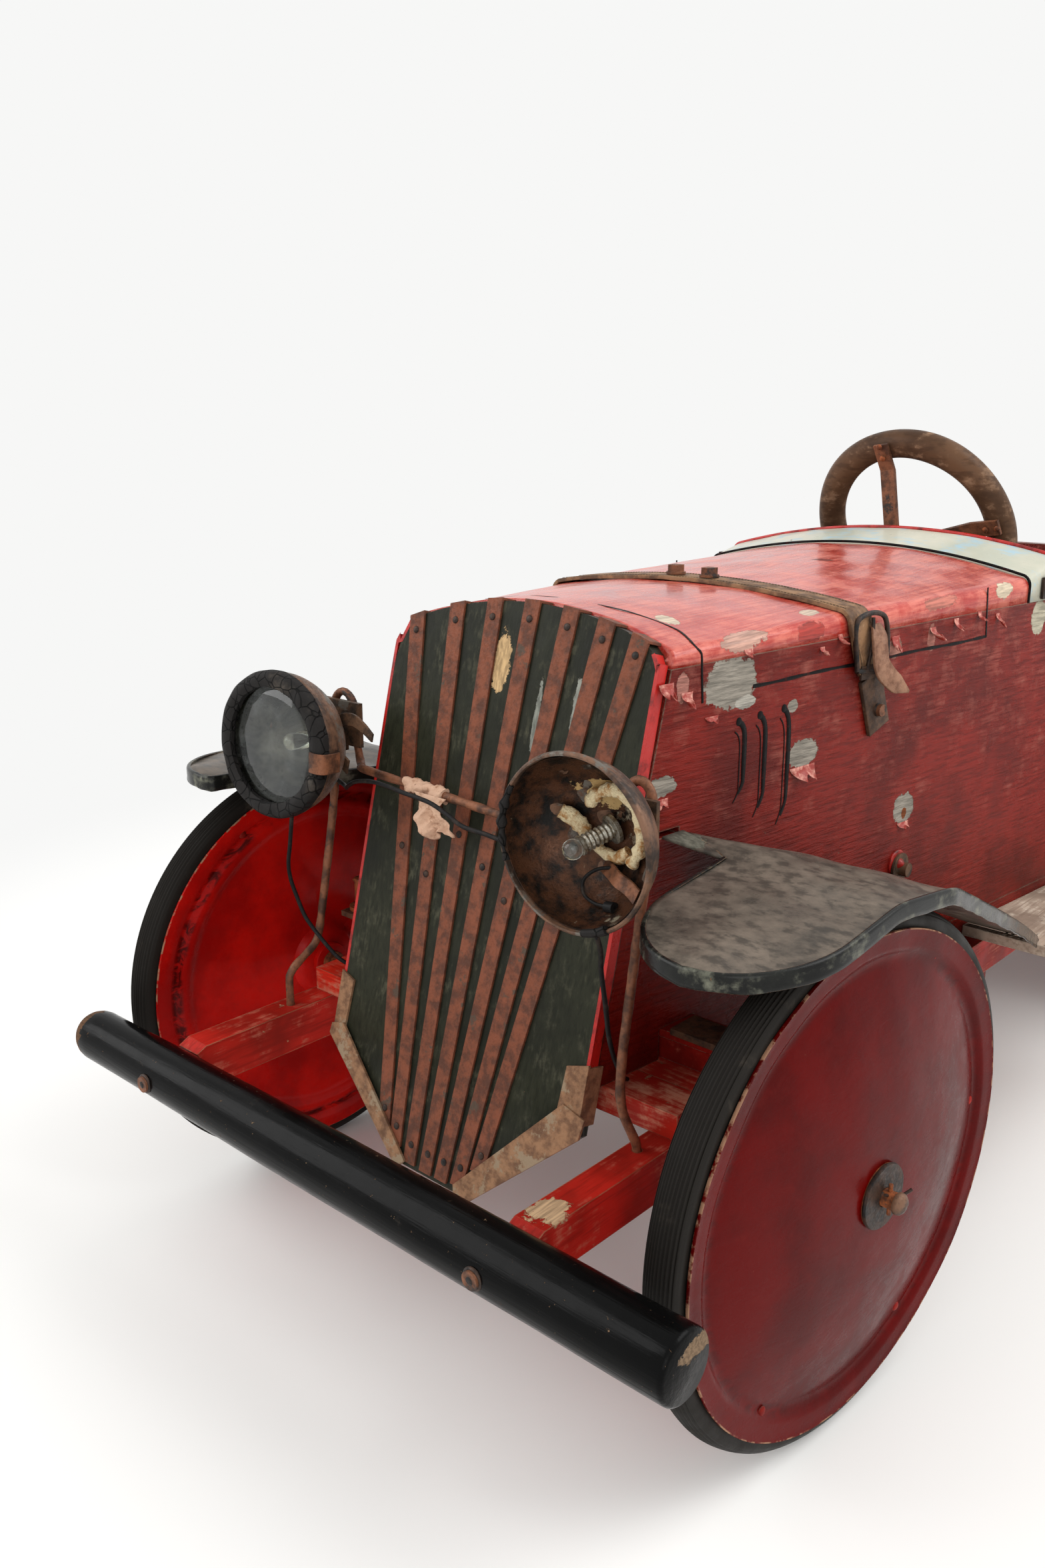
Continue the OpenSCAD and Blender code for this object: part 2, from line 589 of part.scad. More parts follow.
module front_guard(s) color("#3a3a38") place() on_side(s) {
    tongue_front = [side_x(0) - side_t + 1, guard_slot_y[0] + 1, tongue_z];
    tongue_rear = [side_x(0) - side_t + 1, guard_slot_y[1] - 1, tongue_z];
    neck_rear = [side_x(8) + 1.3, guard_slot_y[1] + 3, tongue_z - 1];
    crease_in = [lobe_in_x, 0, guard_z];
    crease_out = [guard_out_x, 0, guard_z];
    panel([tongue_front, tongue_rear, [side_x(0) + 2, guard_slot_y[0] + 2, tongue_z - 0.4], [side_x(0) + 2, guard_slot_y[1] - 1, tongue_z - 0.4]], guard_t);
    panel([[side_x(0) + 1.5, guard_slot_y[0] + 2, tongue_z - 0.4], neck_rear, crease_in, crease_out, crest_out], guard_t);
    for (pts = lobe_panels(s)) panel([for (p = pts) guard_point(p, s)], guard_t);
    panel([neck_rear, crest_out, guard_foot_out, guard_foot_in], guard_t);
    lip(concat([for (p = lobe_pts(s)) guard_point(p, s)], [crest_out, guard_foot_out + [0, -12, 6]]));
}
module front_guard_right() front_guard(RIGHT);
module front_guard_left() front_guard(LEFT);

// Elevation of the rear mudguard: foot, two bends and lip
rear_guard_line = [[568, 0], [715, 318], [832, 318], [922, 254]];
module rear_guard(s) color("#3a3a38") place() on_side(s) {
    in_x = side_x(side_bend_y) + touch + 0.8;
    foot_z = step_top_z + guard_t + 0.1;
    line = [for (p = rear_guard_line) [p[0], p[1] == 0 ? foot_z : p[1]]];
    out = [192, guard_out_x, guard_out_x, guard_out_x - 12];
    for (i = [0 : 2]) panel([[in_x, line[i][0], line[i][1]], [in_x, line[i + 1][0], line[i + 1][1]],
        [out[i], line[i][0], line[i][1]], [out[i + 1], line[i + 1][0], line[i + 1][1]]], guard_t);
    lip([[out[0], line[0][0] + 12, line[0][1] + 26], [out[1], line[1][0], line[1][1]], [out[2], line[2][0], line[2][1]], [out[3], line[3][0], line[3][1]], [in_x, line[3][0], line[3][1]]]);
}
module rear_guard_right() rear_guard(RIGHT);
module rear_guard_left() rear_guard(LEFT);

module running_board(s) color("#8d857a") place() on_side(s)
    translate([0, 0, rail_top_z]) linear_extrude(step_t)
        polygon([[side_x(step_front_y) + touch, step_front_y], [200, step_front_y], [step_out_x, step_front_y - 22],
            [step_out_x, step_rear_y - 4], [step_out_x - 4, step_rear_y], [side_x(side_bend_y) + touch, step_rear_y],
            [side_x(side_bend_y) + touch, side_bend_y]]);
module running_board_right() running_board(RIGHT);
module running_board_left() running_board(LEFT);

// Hood strap and small fittings

strap_y0 = strap_y - strap_w / 2;
strap_y1 = strap_y + strap_w / 2;
strap_edge_z = 424;
strap_low_z = 394;
tab_z = [351, 388];
buckle_z = [393, 425];
// Height of the edge and rise of the hood under the middle of the strap
function strap_mid(i) = (hood_at(strap_y0)[i] + hood_at(strap_y1)[i]) / 2;
module strap_band(z0) difference() {
    loft(hood_at(strap_y0), hood_at(strap_y1), touch + strap_t, z0);
    loft(hood_at(strap_y0 - 2), hood_at(strap_y1 + 2), touch, z0 - 1);
}
module on_side_face(s, y) on_side(s) translate([side_x(y), y, 0]) rotate([0, 0, -side_flare]) children();
// Flat strip on a side face: top and bottom edge as [place along the side, height]
module strip(top, bottom, w, t) upright(0, t) polygon([
    [top[0] - w / 2, top[1]], [bottom[0] - w / 2, bottom[1]], [bottom[0] + w / 2, bottom[1]], [top[0] + w / 2, top[1]]]);
module panel_x(pts, t) hull() for (p = pts) translate(p) cube([t, 0.5, 0.5]);
// Free end of the strap: corners as [out from the side, along the side, height]
tongue_neck = [[2.4, 12, 421], [2.4, 18, 421], [7, 12, 415], [7, 19, 415]];
tongue_root = [[7, 3, 417], [7, 21, 413], [10, 24, 396], [10, 10, 392]];
tongue_tip = [[10, 10, 392], [10, 24, 396], [15, 42, 377], [15, 38, 374]];
module hood_strap() color("#7b5a3c") place() {
    strap_band(strap_edge_z);
    for (s = [RIGHT, LEFT]) on_side_face(s, strap_y) {
        translate([touch, 0, 0]) strip([1, strap_edge_z + 1], [strap_lean, strap_low_z], strap_w - 1, strap_t);
        translate([touch, 0, 0]) strip([strap_lean + 2, tab_z[1]], [strap_lean + 16, tab_z[0]], strap_w - 2, strap_t);
        panel_x(tongue_neck, 1.8);
        panel_x(tongue_root, 1.8);
        panel_x(tongue_tip, 1.8);
    }
}
buckle_w = 3.2;
buckle_half = 15;
// Buckle frame: half width at the foot and at the head, which leans forward, grown outward by g
module buckle_outline(g) polygon([
    [-buckle_half - g, buckle_z[0] - g], [buckle_half + g, buckle_z[0] - g],
    [buckle_half - 3 + g, buckle_z[1] + g], [-buckle_half - 3 - g, buckle_z[1] + g]]);
module strap_buckle() color(iron) place()
    for (s = [RIGHT, LEFT]) on_side_face(s, strap_y + strap_lean - 2)
        upright(touch + strap_t + 0.1, buckle_w) {
            difference() {
                buckle_outline(buckle_w / 2);
                buckle_outline(-buckle_w / 2);
            }
            // Prong
            translate([-4.2, buckle_z[0]]) square([2.4, buckle_z[1] - buckle_z[0]]);
        }

strap_bolts = [-20, 8];
bolt_size = 8;
module square_bolt(w, h) {
    cylinder(h = 1.6, r = w * 0.85, $fn = 32);
    translate([-w / 2, -w / 2, 1.6]) cube([w, w, h]);
}
module bolts_and_washers() color(iron) place() {
    // Two bolts through the strap at the top
    for (x = strap_bolts) translate([x, strap_y, strap_mid(1) + strap_mid(2) + touch + strap_t + 0.1])
        square_bolt(bolt_size, bolt_size * 0.6);
    // Screws that hold the bumper pole to the rails
    for (x = [-rail_mid_x, rail_mid_x]) translate([x, -bumper_fwd - bumper_r_at(x) - touch, bumper_z + (x - bumper_off_x) * tan(bumper_tip)])
        rotate([90, 0, 0]) cylinder(h = screw_head, r = 5, $fn = 32);
    // Rivets of the strap's lower tabs
    for (s = [RIGHT, LEFT]) on_side_face(s, strap_y + strap_lean + 12)
        translate([touch + strap_t, 0, tab_z[0] + 13]) rotate([0, 90, 0]) cylinder(h = 4, r = 4, $fn = 32);
}
screen_z = 417;
module screen_brackets() color("#3c3c3c") place()
    for (s = [RIGHT, LEFT]) on_side_face(s, hood_rear_y + 17) {
        translate([touch + 1, 0, screen_z]) cube([2, 44, 16]);
        translate([3 + touch, 10, screen_z + 8]) rotate([0, 90, 0]) cylinder(h = 4, r = 4, $fn = 32);
    }

// Lamps, drawn with the mouth toward -Y at the origin

module lamp_at(s) {
    place_at = s > 0 ? [lamp_right_x, -lamp_right_fwd, lamp_right_z] : [-lamp_left_x, -lamp_left_fwd, lamp_left_z];
    translate(place_at) rotate([0, 0, s > 0 ? lamp_right_turn : lamp_left_turn]) rotate([s > 0 ? 0 : -lamp_left_up, 0, 0])
        rotate([-90, 0, 0]) children();
}
bowl_steps = 12;
function bowl(r, d) = [for (i = [0 : bowl_steps]) let (a = 90 * i / bowl_steps) [r * cos(a), d * sin(a)]];
module lamp_bowl() rotate_extrude($fn = 72) difference() {
    polygon(concat([[0, 0]], bowl(lamp_r, lamp_depth)));
    polygon(concat([[0, -1], [lamp_r - lamp_t, -1]], bowl(lamp_r - lamp_t, lamp_depth - lamp_t)));
}
module lamp_shell(s) color("#5a4438") place() lamp_at(s) {
    lamp_bowl();
    // Rolled bead at the mouth, open on the right lamp and under the rubber ring on the left one
    rotate_extrude($fn = 72) translate([lamp_r + (s > 0 ? 0.4 : 0), 2]) circle(r = s > 0 ? 1.6 : 1.1, $fn = 16);
}
module lamp_shell_right() lamp_shell(RIGHT);
module lamp_shell_left() lamp_shell(LEFT);
ring_deep = 9;
glass_r = 38.7;
module lamp_ring_left() color(black) place() lamp_at(LEFT)
    rotate_extrude($fn = 72) translate([0, -ring_deep + 2]) polygon([[glass_r - 2, 0], [glass_r + 2, -1.5], [lamp_r - 1, -1],
        [lamp_r + 1.2, 2], [lamp_r + 1.2, ring_deep - 2.2], [glass_r, ring_deep - 2.2], [glass_r, 3.2], [glass_r - 2, 3.2]]);
module lamp_glass_left() color("lightgray") place() lamp_at(LEFT)
    translate([0, 0, -ring_deep + 5.3]) cylinder(h = 1.8, r = glass_r - 0.1, $fn = 72);
stem_len = 10;
// The right socket hangs down a little
bulb_droop = 10;
socket_len = 15;
module lamp_bulbs() color("#c9c2b0") place()
    for (s = [RIGHT, LEFT]) lamp_at(s) translate([0, 0, lamp_depth - lamp_t - stem_len]) {
        cylinder(h = stem_len - 0.5, r = 6.5, $fn = 32);
        rotate([s > 0 ? bulb_droop : 0, 0, 0]) {
            translate([0, 0, -socket_len]) cylinder(h = socket_len + 1.5, r = 4.9, $fn = 32);
            translate([0, 0, -socket_len - bulb_r + 1]) difference() {
                sphere(r = bulb_r, $fn = 32);
                translate([-far / 2, -far / 2, bulb_r - 1.1]) cube(far);
            }
        }
    }

// Plates behind the lamps: left edge, right edge, foot and top, then the front face
lamp_plates = [[108, 137, 322, 358], [-150, -110, 338, 371]];
// Notch in each plate for the rod's hook: left edge, right edge and top
plate_notches = [[107, 114.6, 341], [-125, -109, 342]];
plate_y = [-58, -46];
plate_t = 3;
stud_r = 5;
module lamp_brackets() color(iron) place() for (i = [0, 1]) {
    plate = lamp_plates[i];
    fwd = [lamp_right_fwd, lamp_left_fwd][i];
    turn = [lamp_right_turn, lamp_left_turn][i];
    stud_x = [lamp_right_x, -lamp_left_x][i] - lamp_depth * sin(turn);
    up = [0, lamp_left_up][i];
    back_y = -fwd + lamp_depth * cos(turn) * cos(up) + 0.2;
    notch = plate_notches[i];
    difference() {
        translate([plate[0], plate_y[i], plate[2]]) cube([plate[1] - plate[0], plate_t, plate[3] - plate[2]]);
        translate([notch[0], plate_y[i] - 1, plate[2] - 1]) cube([notch[1] - notch[0], plate_t + 2, notch[2] - plate[2] + 1]);
    }
    // Stud from the shell to the plate
    translate([stud_x, back_y, [lamp_right_z, lamp_left_z][i] - lamp_depth * sin(up)]) rotate([-90, 0, 0]) cylinder(h = plate_y[i] - back_y + 0.1, r = stud_r, $fn = 24);
}
function lamp_foot(s) = s > 0 ? [141, -72, 0] : [143, -87, 0];
rod_sink = 10;
foot_z = rail_top_z - rod_sink;
rod_y = [plate_y[0] + plate_t + lamp_rod_r + 0.1, plate_y[1] + plate_t + lamp_rod_r + 0.1];
// One bent rod carries both lamps: left leg and its hook
lamp_rod_left = [[-143, -87, foot_z], [-143, -87, 183], [-142.6, -85.6, 188.4], [-142.4, -81, 193], [-142.8, -67, 201],
    [-142.8, -62.5, 206], [-142.4, -60, 214], [-140.5, -53, 257], [-141, -45, 298], [-142, rod_y[1], 330], [-142, rod_y[1], 361],
    [-140.6, rod_y[1], 368.5], [-136.6, rod_y[1], 373.8], [-131.5, rod_y[1], 375.6], [-126.4, rod_y[1], 373.8],
    [-122.4, rod_y[1], 368.5], [-121, rod_y[1], 361], [-120, rod_y[1], 345], [-118.4, rod_y[1], 336.6], [-114, -42.6, 331.6],
    [-107, -46.8, 330], [-95, -49.6, 329.8]];
// Crossbar, right hook and right leg
lamp_rod_right = [[27, -57.6, 328], [92, -62, 325], [102, -61, 325.6], [108, -57.6, 328], [111.6, -54, 332.6], [113, rod_y[0], 339],
    [113, rod_y[0], 352], [114.4, rod_y[0], 359.6], [118, rod_y[0], 364.2], [122, rod_y[0], 365.6], [126.4, rod_y[0], 363.8],
    [129.6, rod_y[0], 358.6], [130.4, rod_y[0], 350], [129.6, rod_y[0], 330], [128.6, rod_y[0], 319], [127, -54.6, 300], [126.2, -57, 280], [128, -68, 230],
    [129, -71.6, 214], [130.6, -74.6, 199], [133.6, -75.6, 187], [138.6, -73.6, 175], [140.4, -72.4, 170], [141, -72, 164],
    [141, -72, foot_z]];
rod_sides = 12;
module lamp_frame_rod() color(iron) place() tube(concat(lamp_rod_left, lamp_rod_right), lamp_rod_r, rod_sides);

// Wires: routes of the three lamp wires, in the front axle's frame
cross_route = [[-129.7, -54.6, 321.5], [-128.3, -51, 318.6], [-120, -51, 315.6], [-112, -57, 317.4], [-103, -62, 322], [-92, -65, 327],
    [-77, -66, 330], [-62, -66, 330], [-46, -66, 328.6], [-34, -66, 328], [-22, -66, 326.6], [-9, -66, 322.6], [5, -67, 318.6],
    [23, -67, 318], [40, -68, 317], [56, -69, 315.8], [70, -71, 316], [82, -73.6, 319.8], [86.9, -78.5, 322.8]];
left_route = [[-141, -79, 303.2], [-146, -77, 288], [-151, -75, 274], [-155, -74, 260], [-156, -72, 248], [-153, -70, 236],
    [-147, -69, 224], [-140, -68, 216.6], [-132, -68, 211.6], [-124, -67, 205.6], [-117, -65, 200], [-111, -60, 194.6],
    [-108, -54, 189.4], [-107, -48, 185.4], [-107, -42, 183.5]];
right_route = [[118, -88, 298.8], [119, -83, 288], [119, -79, 277], [117, -76, 266], [117, -74, 255], [117, -72, 245],
    [116, -69, 234], [115, -66, 223], [115, -63, 213], [114, -58, 203], [113, -53, 195], [111, -47, 188], [108.4, -40, 183.5]];
wire_sides = 8;
function ring_frame(d) = let (u = cross(d, abs(d[2]) > 0.9 * norm(d) ? [1, 0, 0] : [0, 0, 1]), a = u / norm(u), b = cross(d / norm(d), a)) [a, b];
module wire(route) tube(route, wire_r, wire_sides);
// Tube swept through a list of points
module tube(route, r, sides) {
    n = len(route);
    dirs = [for (i = [0 : n - 1]) route[min(i + 1, n - 1)] - route[max(i - 1, 0)]];
    frames = [for (d = dirs) ring_frame(d)];
    pts = [for (i = [0 : n - 1]) for (k = [0 : sides - 1]) let (t = 360 * k / sides)
        route[i] + r * (cos(t) * frames[i][0] + sin(t) * frames[i][1])];
    walls = [for (i = [0 : n - 2]) for (k = [0 : sides - 1]) let (j = (k + 1) % sides, a = i * sides, b = a + sides)
        each [[a + k, b + k, b + j], [a + k, b + j, a + j]]];
    start = [for (k = [0 : sides - 1]) k];
    finish = [for (k = [sides - 1 : -1 : 0]) (n - 1) * sides + k];
    polyhedron(points = pts, faces = concat(walls, [start], [finish]));
}
module wire_lamp_to_lamp() color(black) place() wire(cross_route);
module wire_left() color(black) place() wire(left_route);
module wire_right() color(black) place() wire(right_route);

// Steering. The column's own frame has its axis along Y, its rear end at the origin.

module steering_rim() color("#4b3a2c") place() on_column()
    translate([0, rim_dish, 0]) rotate([90, 0, 0]) rotate_extrude($fn = 96) translate([rim_r, 0]) circle(r = rim_tube, $fn = 32);

spoke_reach = rim_r - 4;
module spoke_half() {
    flat = 14;
    // Flat at the hub, slanted out to the rim, flat on the rim's face
    rotate([90, 0, 90]) translate([0, 0, -spoke_w / 2]) linear_extrude(spoke_w) polygon([
        [0, 0], [0, flat], [rim_dish - rim_tube - spoke_t, spoke_reach - 12], [rim_dish - rim_tube - spoke_t - 0.3, spoke_reach + 10],
        [rim_dish - rim_tube - 0.3, spoke_reach + 10], [rim_dish - rim_tube, spoke_reach - 14], [spoke_t, flat - 1], [spoke_t, 0]]);
}
module steering_spokes() color(iron) place() on_column() rotate([0, spoke_turn * -1, 0])
    difference() {
        union() {
            for (a = [0, 180]) rotate([0, a, 0]) spoke_half();
            for (a = [90, 270]) rotate([0, a, 0]) spoke_half();
        }
        rotate([90, 0, 0]) translate([0, 0, -far / 2]) cylinder(h = far, r = column_r, $fn = 48);
    }

column_low_y = 12;
column_len = (column_top_y - column_low_y) / cos(column_tilt);
pitman_at = column_len - 11;
hub_nut_t = 6;
hub_washer_t = 3;
hub_stack = spoke_t + hub_washer_t + hub_nut_t;
pitman_t = 6;
pin_r = 3;
module steering_column() color("#5b5048") place() on_column() {
    translate([0, hub_stack + 1, 0]) rotate([90, 0, 0]) cylinder(h = hub_stack + 1 + column_len + 6, r = column_r, $fn = 48);
    // Nut and washer behind the spokes
    translate([0, hub_stack, 0]) rotate([90, 0, 0]) cylinder(h = hub_nut_t, r = 10, $fn = 6);
    translate([0, spoke_t + hub_washer_t, 0]) rotate([90, 0, 0]) cylinder(h = hub_washer_t - 0.02, r = 12, $fn = 32);
    translate([0, -0.02, 0]) rotate([90, 0, 0]) cylinder(h = 8, r = 10, $fn = 32);
    // Arm at the lower end, with a pin that drives the tie rod
    translate([0, -pitman_at, 0]) rotate([0, steer_rest, 0]) {
        translate([-8, -pitman_t / 2, -arm_len]) cube([16, pitman_t, arm_len]);
        rotate([90, 0, 0]) translate([0, 0, -pitman_t / 2]) cylinder(h = pitman_t, r = 11, $fn = 32);
        translate([0, 0, -arm_len]) rotate([90, 0, 0]) translate([0, 0, -pitman_t / 2]) cylinder(h = pitman_t, r = 8, $fn = 32);
        translate([0, pitman_t / 2 - 0.5, -arm_len]) rotate([-90, 0, 0]) cylinder(h = 16, r = pin_r, $fn = 32);
    }
}

cotter_r = 1.2;
cotter_len = 18;
washer_r = 18;
washer_t = 2;
// Washer and cotter at the end of an axle whose own middle lies at x0
module axle_end(s, x0) {
    x_rod(s * (wheel_mid_x + hub_front_s + 0.2 - x0), s * (wheel_mid_x + hub_front_s + 0.2 + washer_t - x0), washer_r);
    translate([s * (wheel_mid_x + hub_front_s + washer_t + 4 - x0), 0, -cotter_len / 2]) cylinder(h = cotter_len, r = cotter_r, $fn = 24);
}
lug_t = 4;
lug_out = 9;
low_lug_top = 163;
module lug_plate(x0, z0) difference() {
    translate([x0, -12, z0]) cube([pin_x + lug_out - x0, 24, lug_t]);
    translate([pin_x, 0, z0 - 1]) cylinder(h = lug_t + 2, r = axle_r + run_gap, $fn = 48);
}
module steering_brackets() color(iron) place() {
    for (s = [RIGHT, LEFT]) translate([0, s * pin_y, 0]) on_side(s) {
        lug_plate(side_x(0) + 8, block_top_z);
        lug_plate(rail_out_x, low_lug_top - lug_t);
        translate([rail_out_x, -12, rail_bottom_z + 3]) cube([3, 24, low_lug_top - lug_t - rail_bottom_z - 3 + eps]);
    }
    // Bearing of the column's lower end
    difference() {
        union() {
            translate([-18, 6, block_top_z]) cube([36, 8, 66]);
            translate([-30, 2, block_top_z]) cube([60, 16, lug_t]);
        }
        on_column() rotate([90, 0, 0]) cylinder(h = column_len + 40, r = column_r + run_gap, $fn = 48);
    }
}

arm_z = 171;
arm_t = 5;
tie_z = arm_z + arm_t + 0.3;
eye_t = 4;
module at_kingpin(s) translate([s * pin_x, s * pin_y, 0]) rotate([0, 0, steer_rest]) children();
module toed(s) rotate([0, 0, s > 0 ? 0 : wheel_toe]) children();
module stub_axle(s) color("#5b5048") place() at_kingpin(s) {
    // Kingpin, bent over into the wheel's spindle
    translate([0, 0, wheel_r]) cylinder(h = block_top_z + 28 - wheel_r, r = axle_r, $fn = 48);
    translate([0, 0, wheel_r]) sphere(r = axle_r + 1.4, $fn = 48);
    toed(s) translate([0, 0, wheel_r]) x_rod(0, s * (axle_end_x - kingpin_x), axle_r);
    // Collars under the lower lug and over the upper one
    translate([0, 0, wheel_r + axle_r - 2]) cylinder(h = low_lug_top - lug_t - 0.1 - wheel_r - axle_r + 2, r = 7, $fn = 32);
    translate([0, 0, block_top_z + lug_t + 0.1]) cylinder(h = 3, r = 9, $fn = 32);
    // Steering arm with the pin of the tie rod
    translate([-arm_w / 2, 0, arm_z]) cube([arm_w, arm_len, arm_t]);
    translate([0, 0, arm_z]) cylinder(h = arm_t, r = 8, $fn = 32);
    translate([0, arm_len, arm_z]) cylinder(h = arm_t, r = arm_w / 2, $fn = 32);
    translate([0, arm_len, arm_z + arm_t - 1]) cylinder(h = 1 + 0.3 + eye_t + 1, r = pin_r, $fn = 32);
    // Cotter through the top of the kingpin
    translate([0, 0, block_top_z + 24]) x_rod(-cotter_len / 2, cotter_len / 2, cotter_r);
    toed(s) translate([0, 0, wheel_r]) axle_end(s, kingpin_x);
    // Collar behind the wheel's hub
    toed(s) translate([0, 0, wheel_r]) x_rod(s * (wheel_mid_x - wheel_w / 2 - hub_back - 4.1 - kingpin_x), s * (wheel_mid_x - wheel_w / 2 - hub_back - 0.1 - kingpin_x), 8);
}
module stub_axle_right() stub_axle(RIGHT);
module stub_axle_left() stub_axle(LEFT);

eye_r = 8.5;
open_gap = 0.3;
tongue_w = 26;
tongue_top_z = 238;
slot_gap = 0.5;
slot_z = [203, 227];
module tie_rod() color("#5b5048") place() translate([-arm_len * sin(steer_rest), arm_len * cos(steer_rest), 0])
    difference() {
        union() {
            skewed() translate([-kingpin_x + 8, -tie_r, tie_z]) cube([2 * kingpin_x - 16, 2 * tie_r, eye_t]);
            for (s = [RIGHT, LEFT]) translate([s * pin_x, s * pin_y, tie_z]) cylinder(h = eye_t, r = eye_r, $fn = 32);
            translate([-tongue_w / 2, -1.5, tie_z]) cube([tongue_w, 3, tongue_top_z - tie_z]);
        }
        for (s = [RIGHT, LEFT]) translate([s * pin_x, s * pin_y, tie_z - 1])
            cylinder(h = eye_t + 2, r = pin_r + (s > 0 ? run_gap : open_gap), $fn = 32);
        translate([-pin_r - slot_gap, -3, slot_z[0]]) cube([2 * (pin_r + slot_gap), 6, slot_z[1] - slot_z[0]]);
    }

// Pedals and rear axle. Both crankshafts have two opposite throws at the same turn.

function throw_vec(s) = s * throw * [0, cos(crank_rest), sin(crank_rest)];
module web(x0, a, b) hull() for (p = [a, b]) translate([x0, p[1], p[2]]) rotate([0, 90, 0]) cylinder(h = web_t, r = web_w / 2, $fn = 32);
module crank_middle() {
    web(-web_t / 2, throw_vec(RIGHT), throw_vec(LEFT));
}
pedal_in_x = 30;
pedal_out_x = pedal_in_x + pedal_len;
pedal_web_x = pedal_out_x + 2;
module pedal_crank() color("#5b5048") place() translate([0, pedal_y, pedal_z]) {
    crank_middle();
    for (s = [RIGHT, LEFT]) {
        translate(throw_vec(s)) x_rod(0, s * (pedal_web_x + web_t), axle_r);
        web(s > 0 ? pedal_web_x : -pedal_web_x - web_t, throw_vec(s), [0, 0, 0]);
        x_rod(s * pedal_web_x, s * (side_x(pedal_y) + 9), axle_r);
        // Washer against the outside of the side board
        x_rod(s * (side_x(pedal_y) + 1.1), s * (side_x(pedal_y) + 3.1), 11);
    }
}
module pedal(s) color("#6d5640") place() translate([0, pedal_y, pedal_z]) translate(throw_vec(s)) difference() {
    translate([s > 0 ? pedal_in_x : -pedal_out_x, -pedal_d / 2, -pedal_t / 2]) cube([pedal_len, pedal_d, pedal_t]);
    x_rod(s * (pedal_in_x - 1), s * (pedal_out_x + 1), axle_r + run_gap);
}
module pedal_right() pedal(RIGHT);
module pedal_left() pedal(LEFT);

rod_vec = [0, wheelbase - pedal_y, wheel_r - pedal_z];
module connecting_rod(s) color("#5b5048") place() translate([s * rod_x, pedal_y, pedal_z]) translate(throw_vec(s)) difference() {
    translate([-rod_t / 2, 0, 0]) rotate([-atan2(-rod_vec[2], rod_vec[1]), 0, 0]) rotate([90, 0, 90]) linear_extrude(rod_t) union() {
        circle(r = rod_w / 2 + 1, $fn = 48);
        translate([norm(rod_vec), 0]) circle(r = rod_w / 2 + 1, $fn = 48);
        translate([0, -rod_w / 2]) square([norm(rod_vec), rod_w]);
    }
    x_rod(-rod_t, rod_t, axle_r + run_gap);
    translate(rod_vec) x_rod(-rod_t, rod_t, axle_r + open_gap);
}
module connecting_rod_right() connecting_rod(RIGHT);
module connecting_rod_left() connecting_rod(LEFT);

rear_web_x = rod_x + rod_t / 2 + 6;
module rear_axle() color("#5b5048") place() translate([0, wheelbase, wheel_r]) {
    crank_middle();
    for (s = [RIGHT, LEFT]) {
        translate(throw_vec(s)) x_rod(0, s * (rear_web_x + web_t), axle_r);
        web(s > 0 ? rear_web_x : -rear_web_x - web_t, throw_vec(s), [0, 0, 0]);
        x_rod(s * rear_web_x, s * axle_end_x, axle_r);
        axle_end(s, 0);
        // Collar between rail and wheel
        x_rod(s * (rail_out_x + 1), s * (rail_out_x + 7), 9);
    }
}

// Wheels, drawn with their axis along +Z, outer face up, the middle of the width at z = 0

module turned() rotate_extrude($fn = 120) children();
function dome(h, r0, r1, n) = [for (i = [0 : n]) let (t = i / n) [r0 + (r1 - r0) * t, h * (1 - t * t)]];
hub_collar_r = 14;
module disc_section(bore) {
    face = wheel_w / 2;
    groove_r = disc_edge_r * 0.88;
    // Outer pressed disc: hub seat, dome, stepped groove, flat flange
    outer_line = concat([[hub_r - 1, face + dome_h]], [for (p = dome(dome_h + 2, 17, groove_r - 5, 10)) [p[0], face - 2 + p[1]]],
        [[groove_r, face - 3], [channel_r - disc_t, face], [disc_edge_r - 1, face]]);
    polygon(concat(outer_line, [[disc_edge_r, face], [disc_edge_r, face - disc_t]],
        [for (i = [len(outer_line) - 2 : -1 : 0]) [outer_line[i][0], outer_line[i][1] - disc_t]]));
    // Inner pressed disc with its raised ring
    inner_line = [[hub_r - 1, -face - 4], [24, -face - 4], [28, -face + 2], [groove_r - 14, -face + 3], [groove_r - 8, -face - 1],
        [groove_r - 2, -face - 1], [groove_r + 2, -face + 2.5], [channel_r - disc_t, -face], [disc_edge_r, -face]];
    polygon(concat(inner_line, [for (i = [len(inner_line) - 1 : -1 : 0]) [inner_line[i][0], inner_line[i][1] + disc_t]]));
    // Channel floor under the tyre
    translate([channel_r - disc_t, -face + disc_t / 2]) square([disc_t, wheel_w - disc_t]);
    // Hub sleeve with a thick collar behind
    translate([bore, -face - hub_back]) square([hub_r - bore, wheel_w + hub_back + dome_h]);
    translate([bore, -face - hub_back]) square([hub_collar_r - bore, hub_back]);
}
vent_r = 3;
vent_at = 40;
// Two vents through the inner disc
module disc(bore) difference() {
    turned() disc_section(bore);
    for (a = [70, 250]) rotate([0, 0, a]) translate([vent_at, 0, -wheel_w]) cylinder(h = wheel_w, r = vent_r, $fn = 24);
}
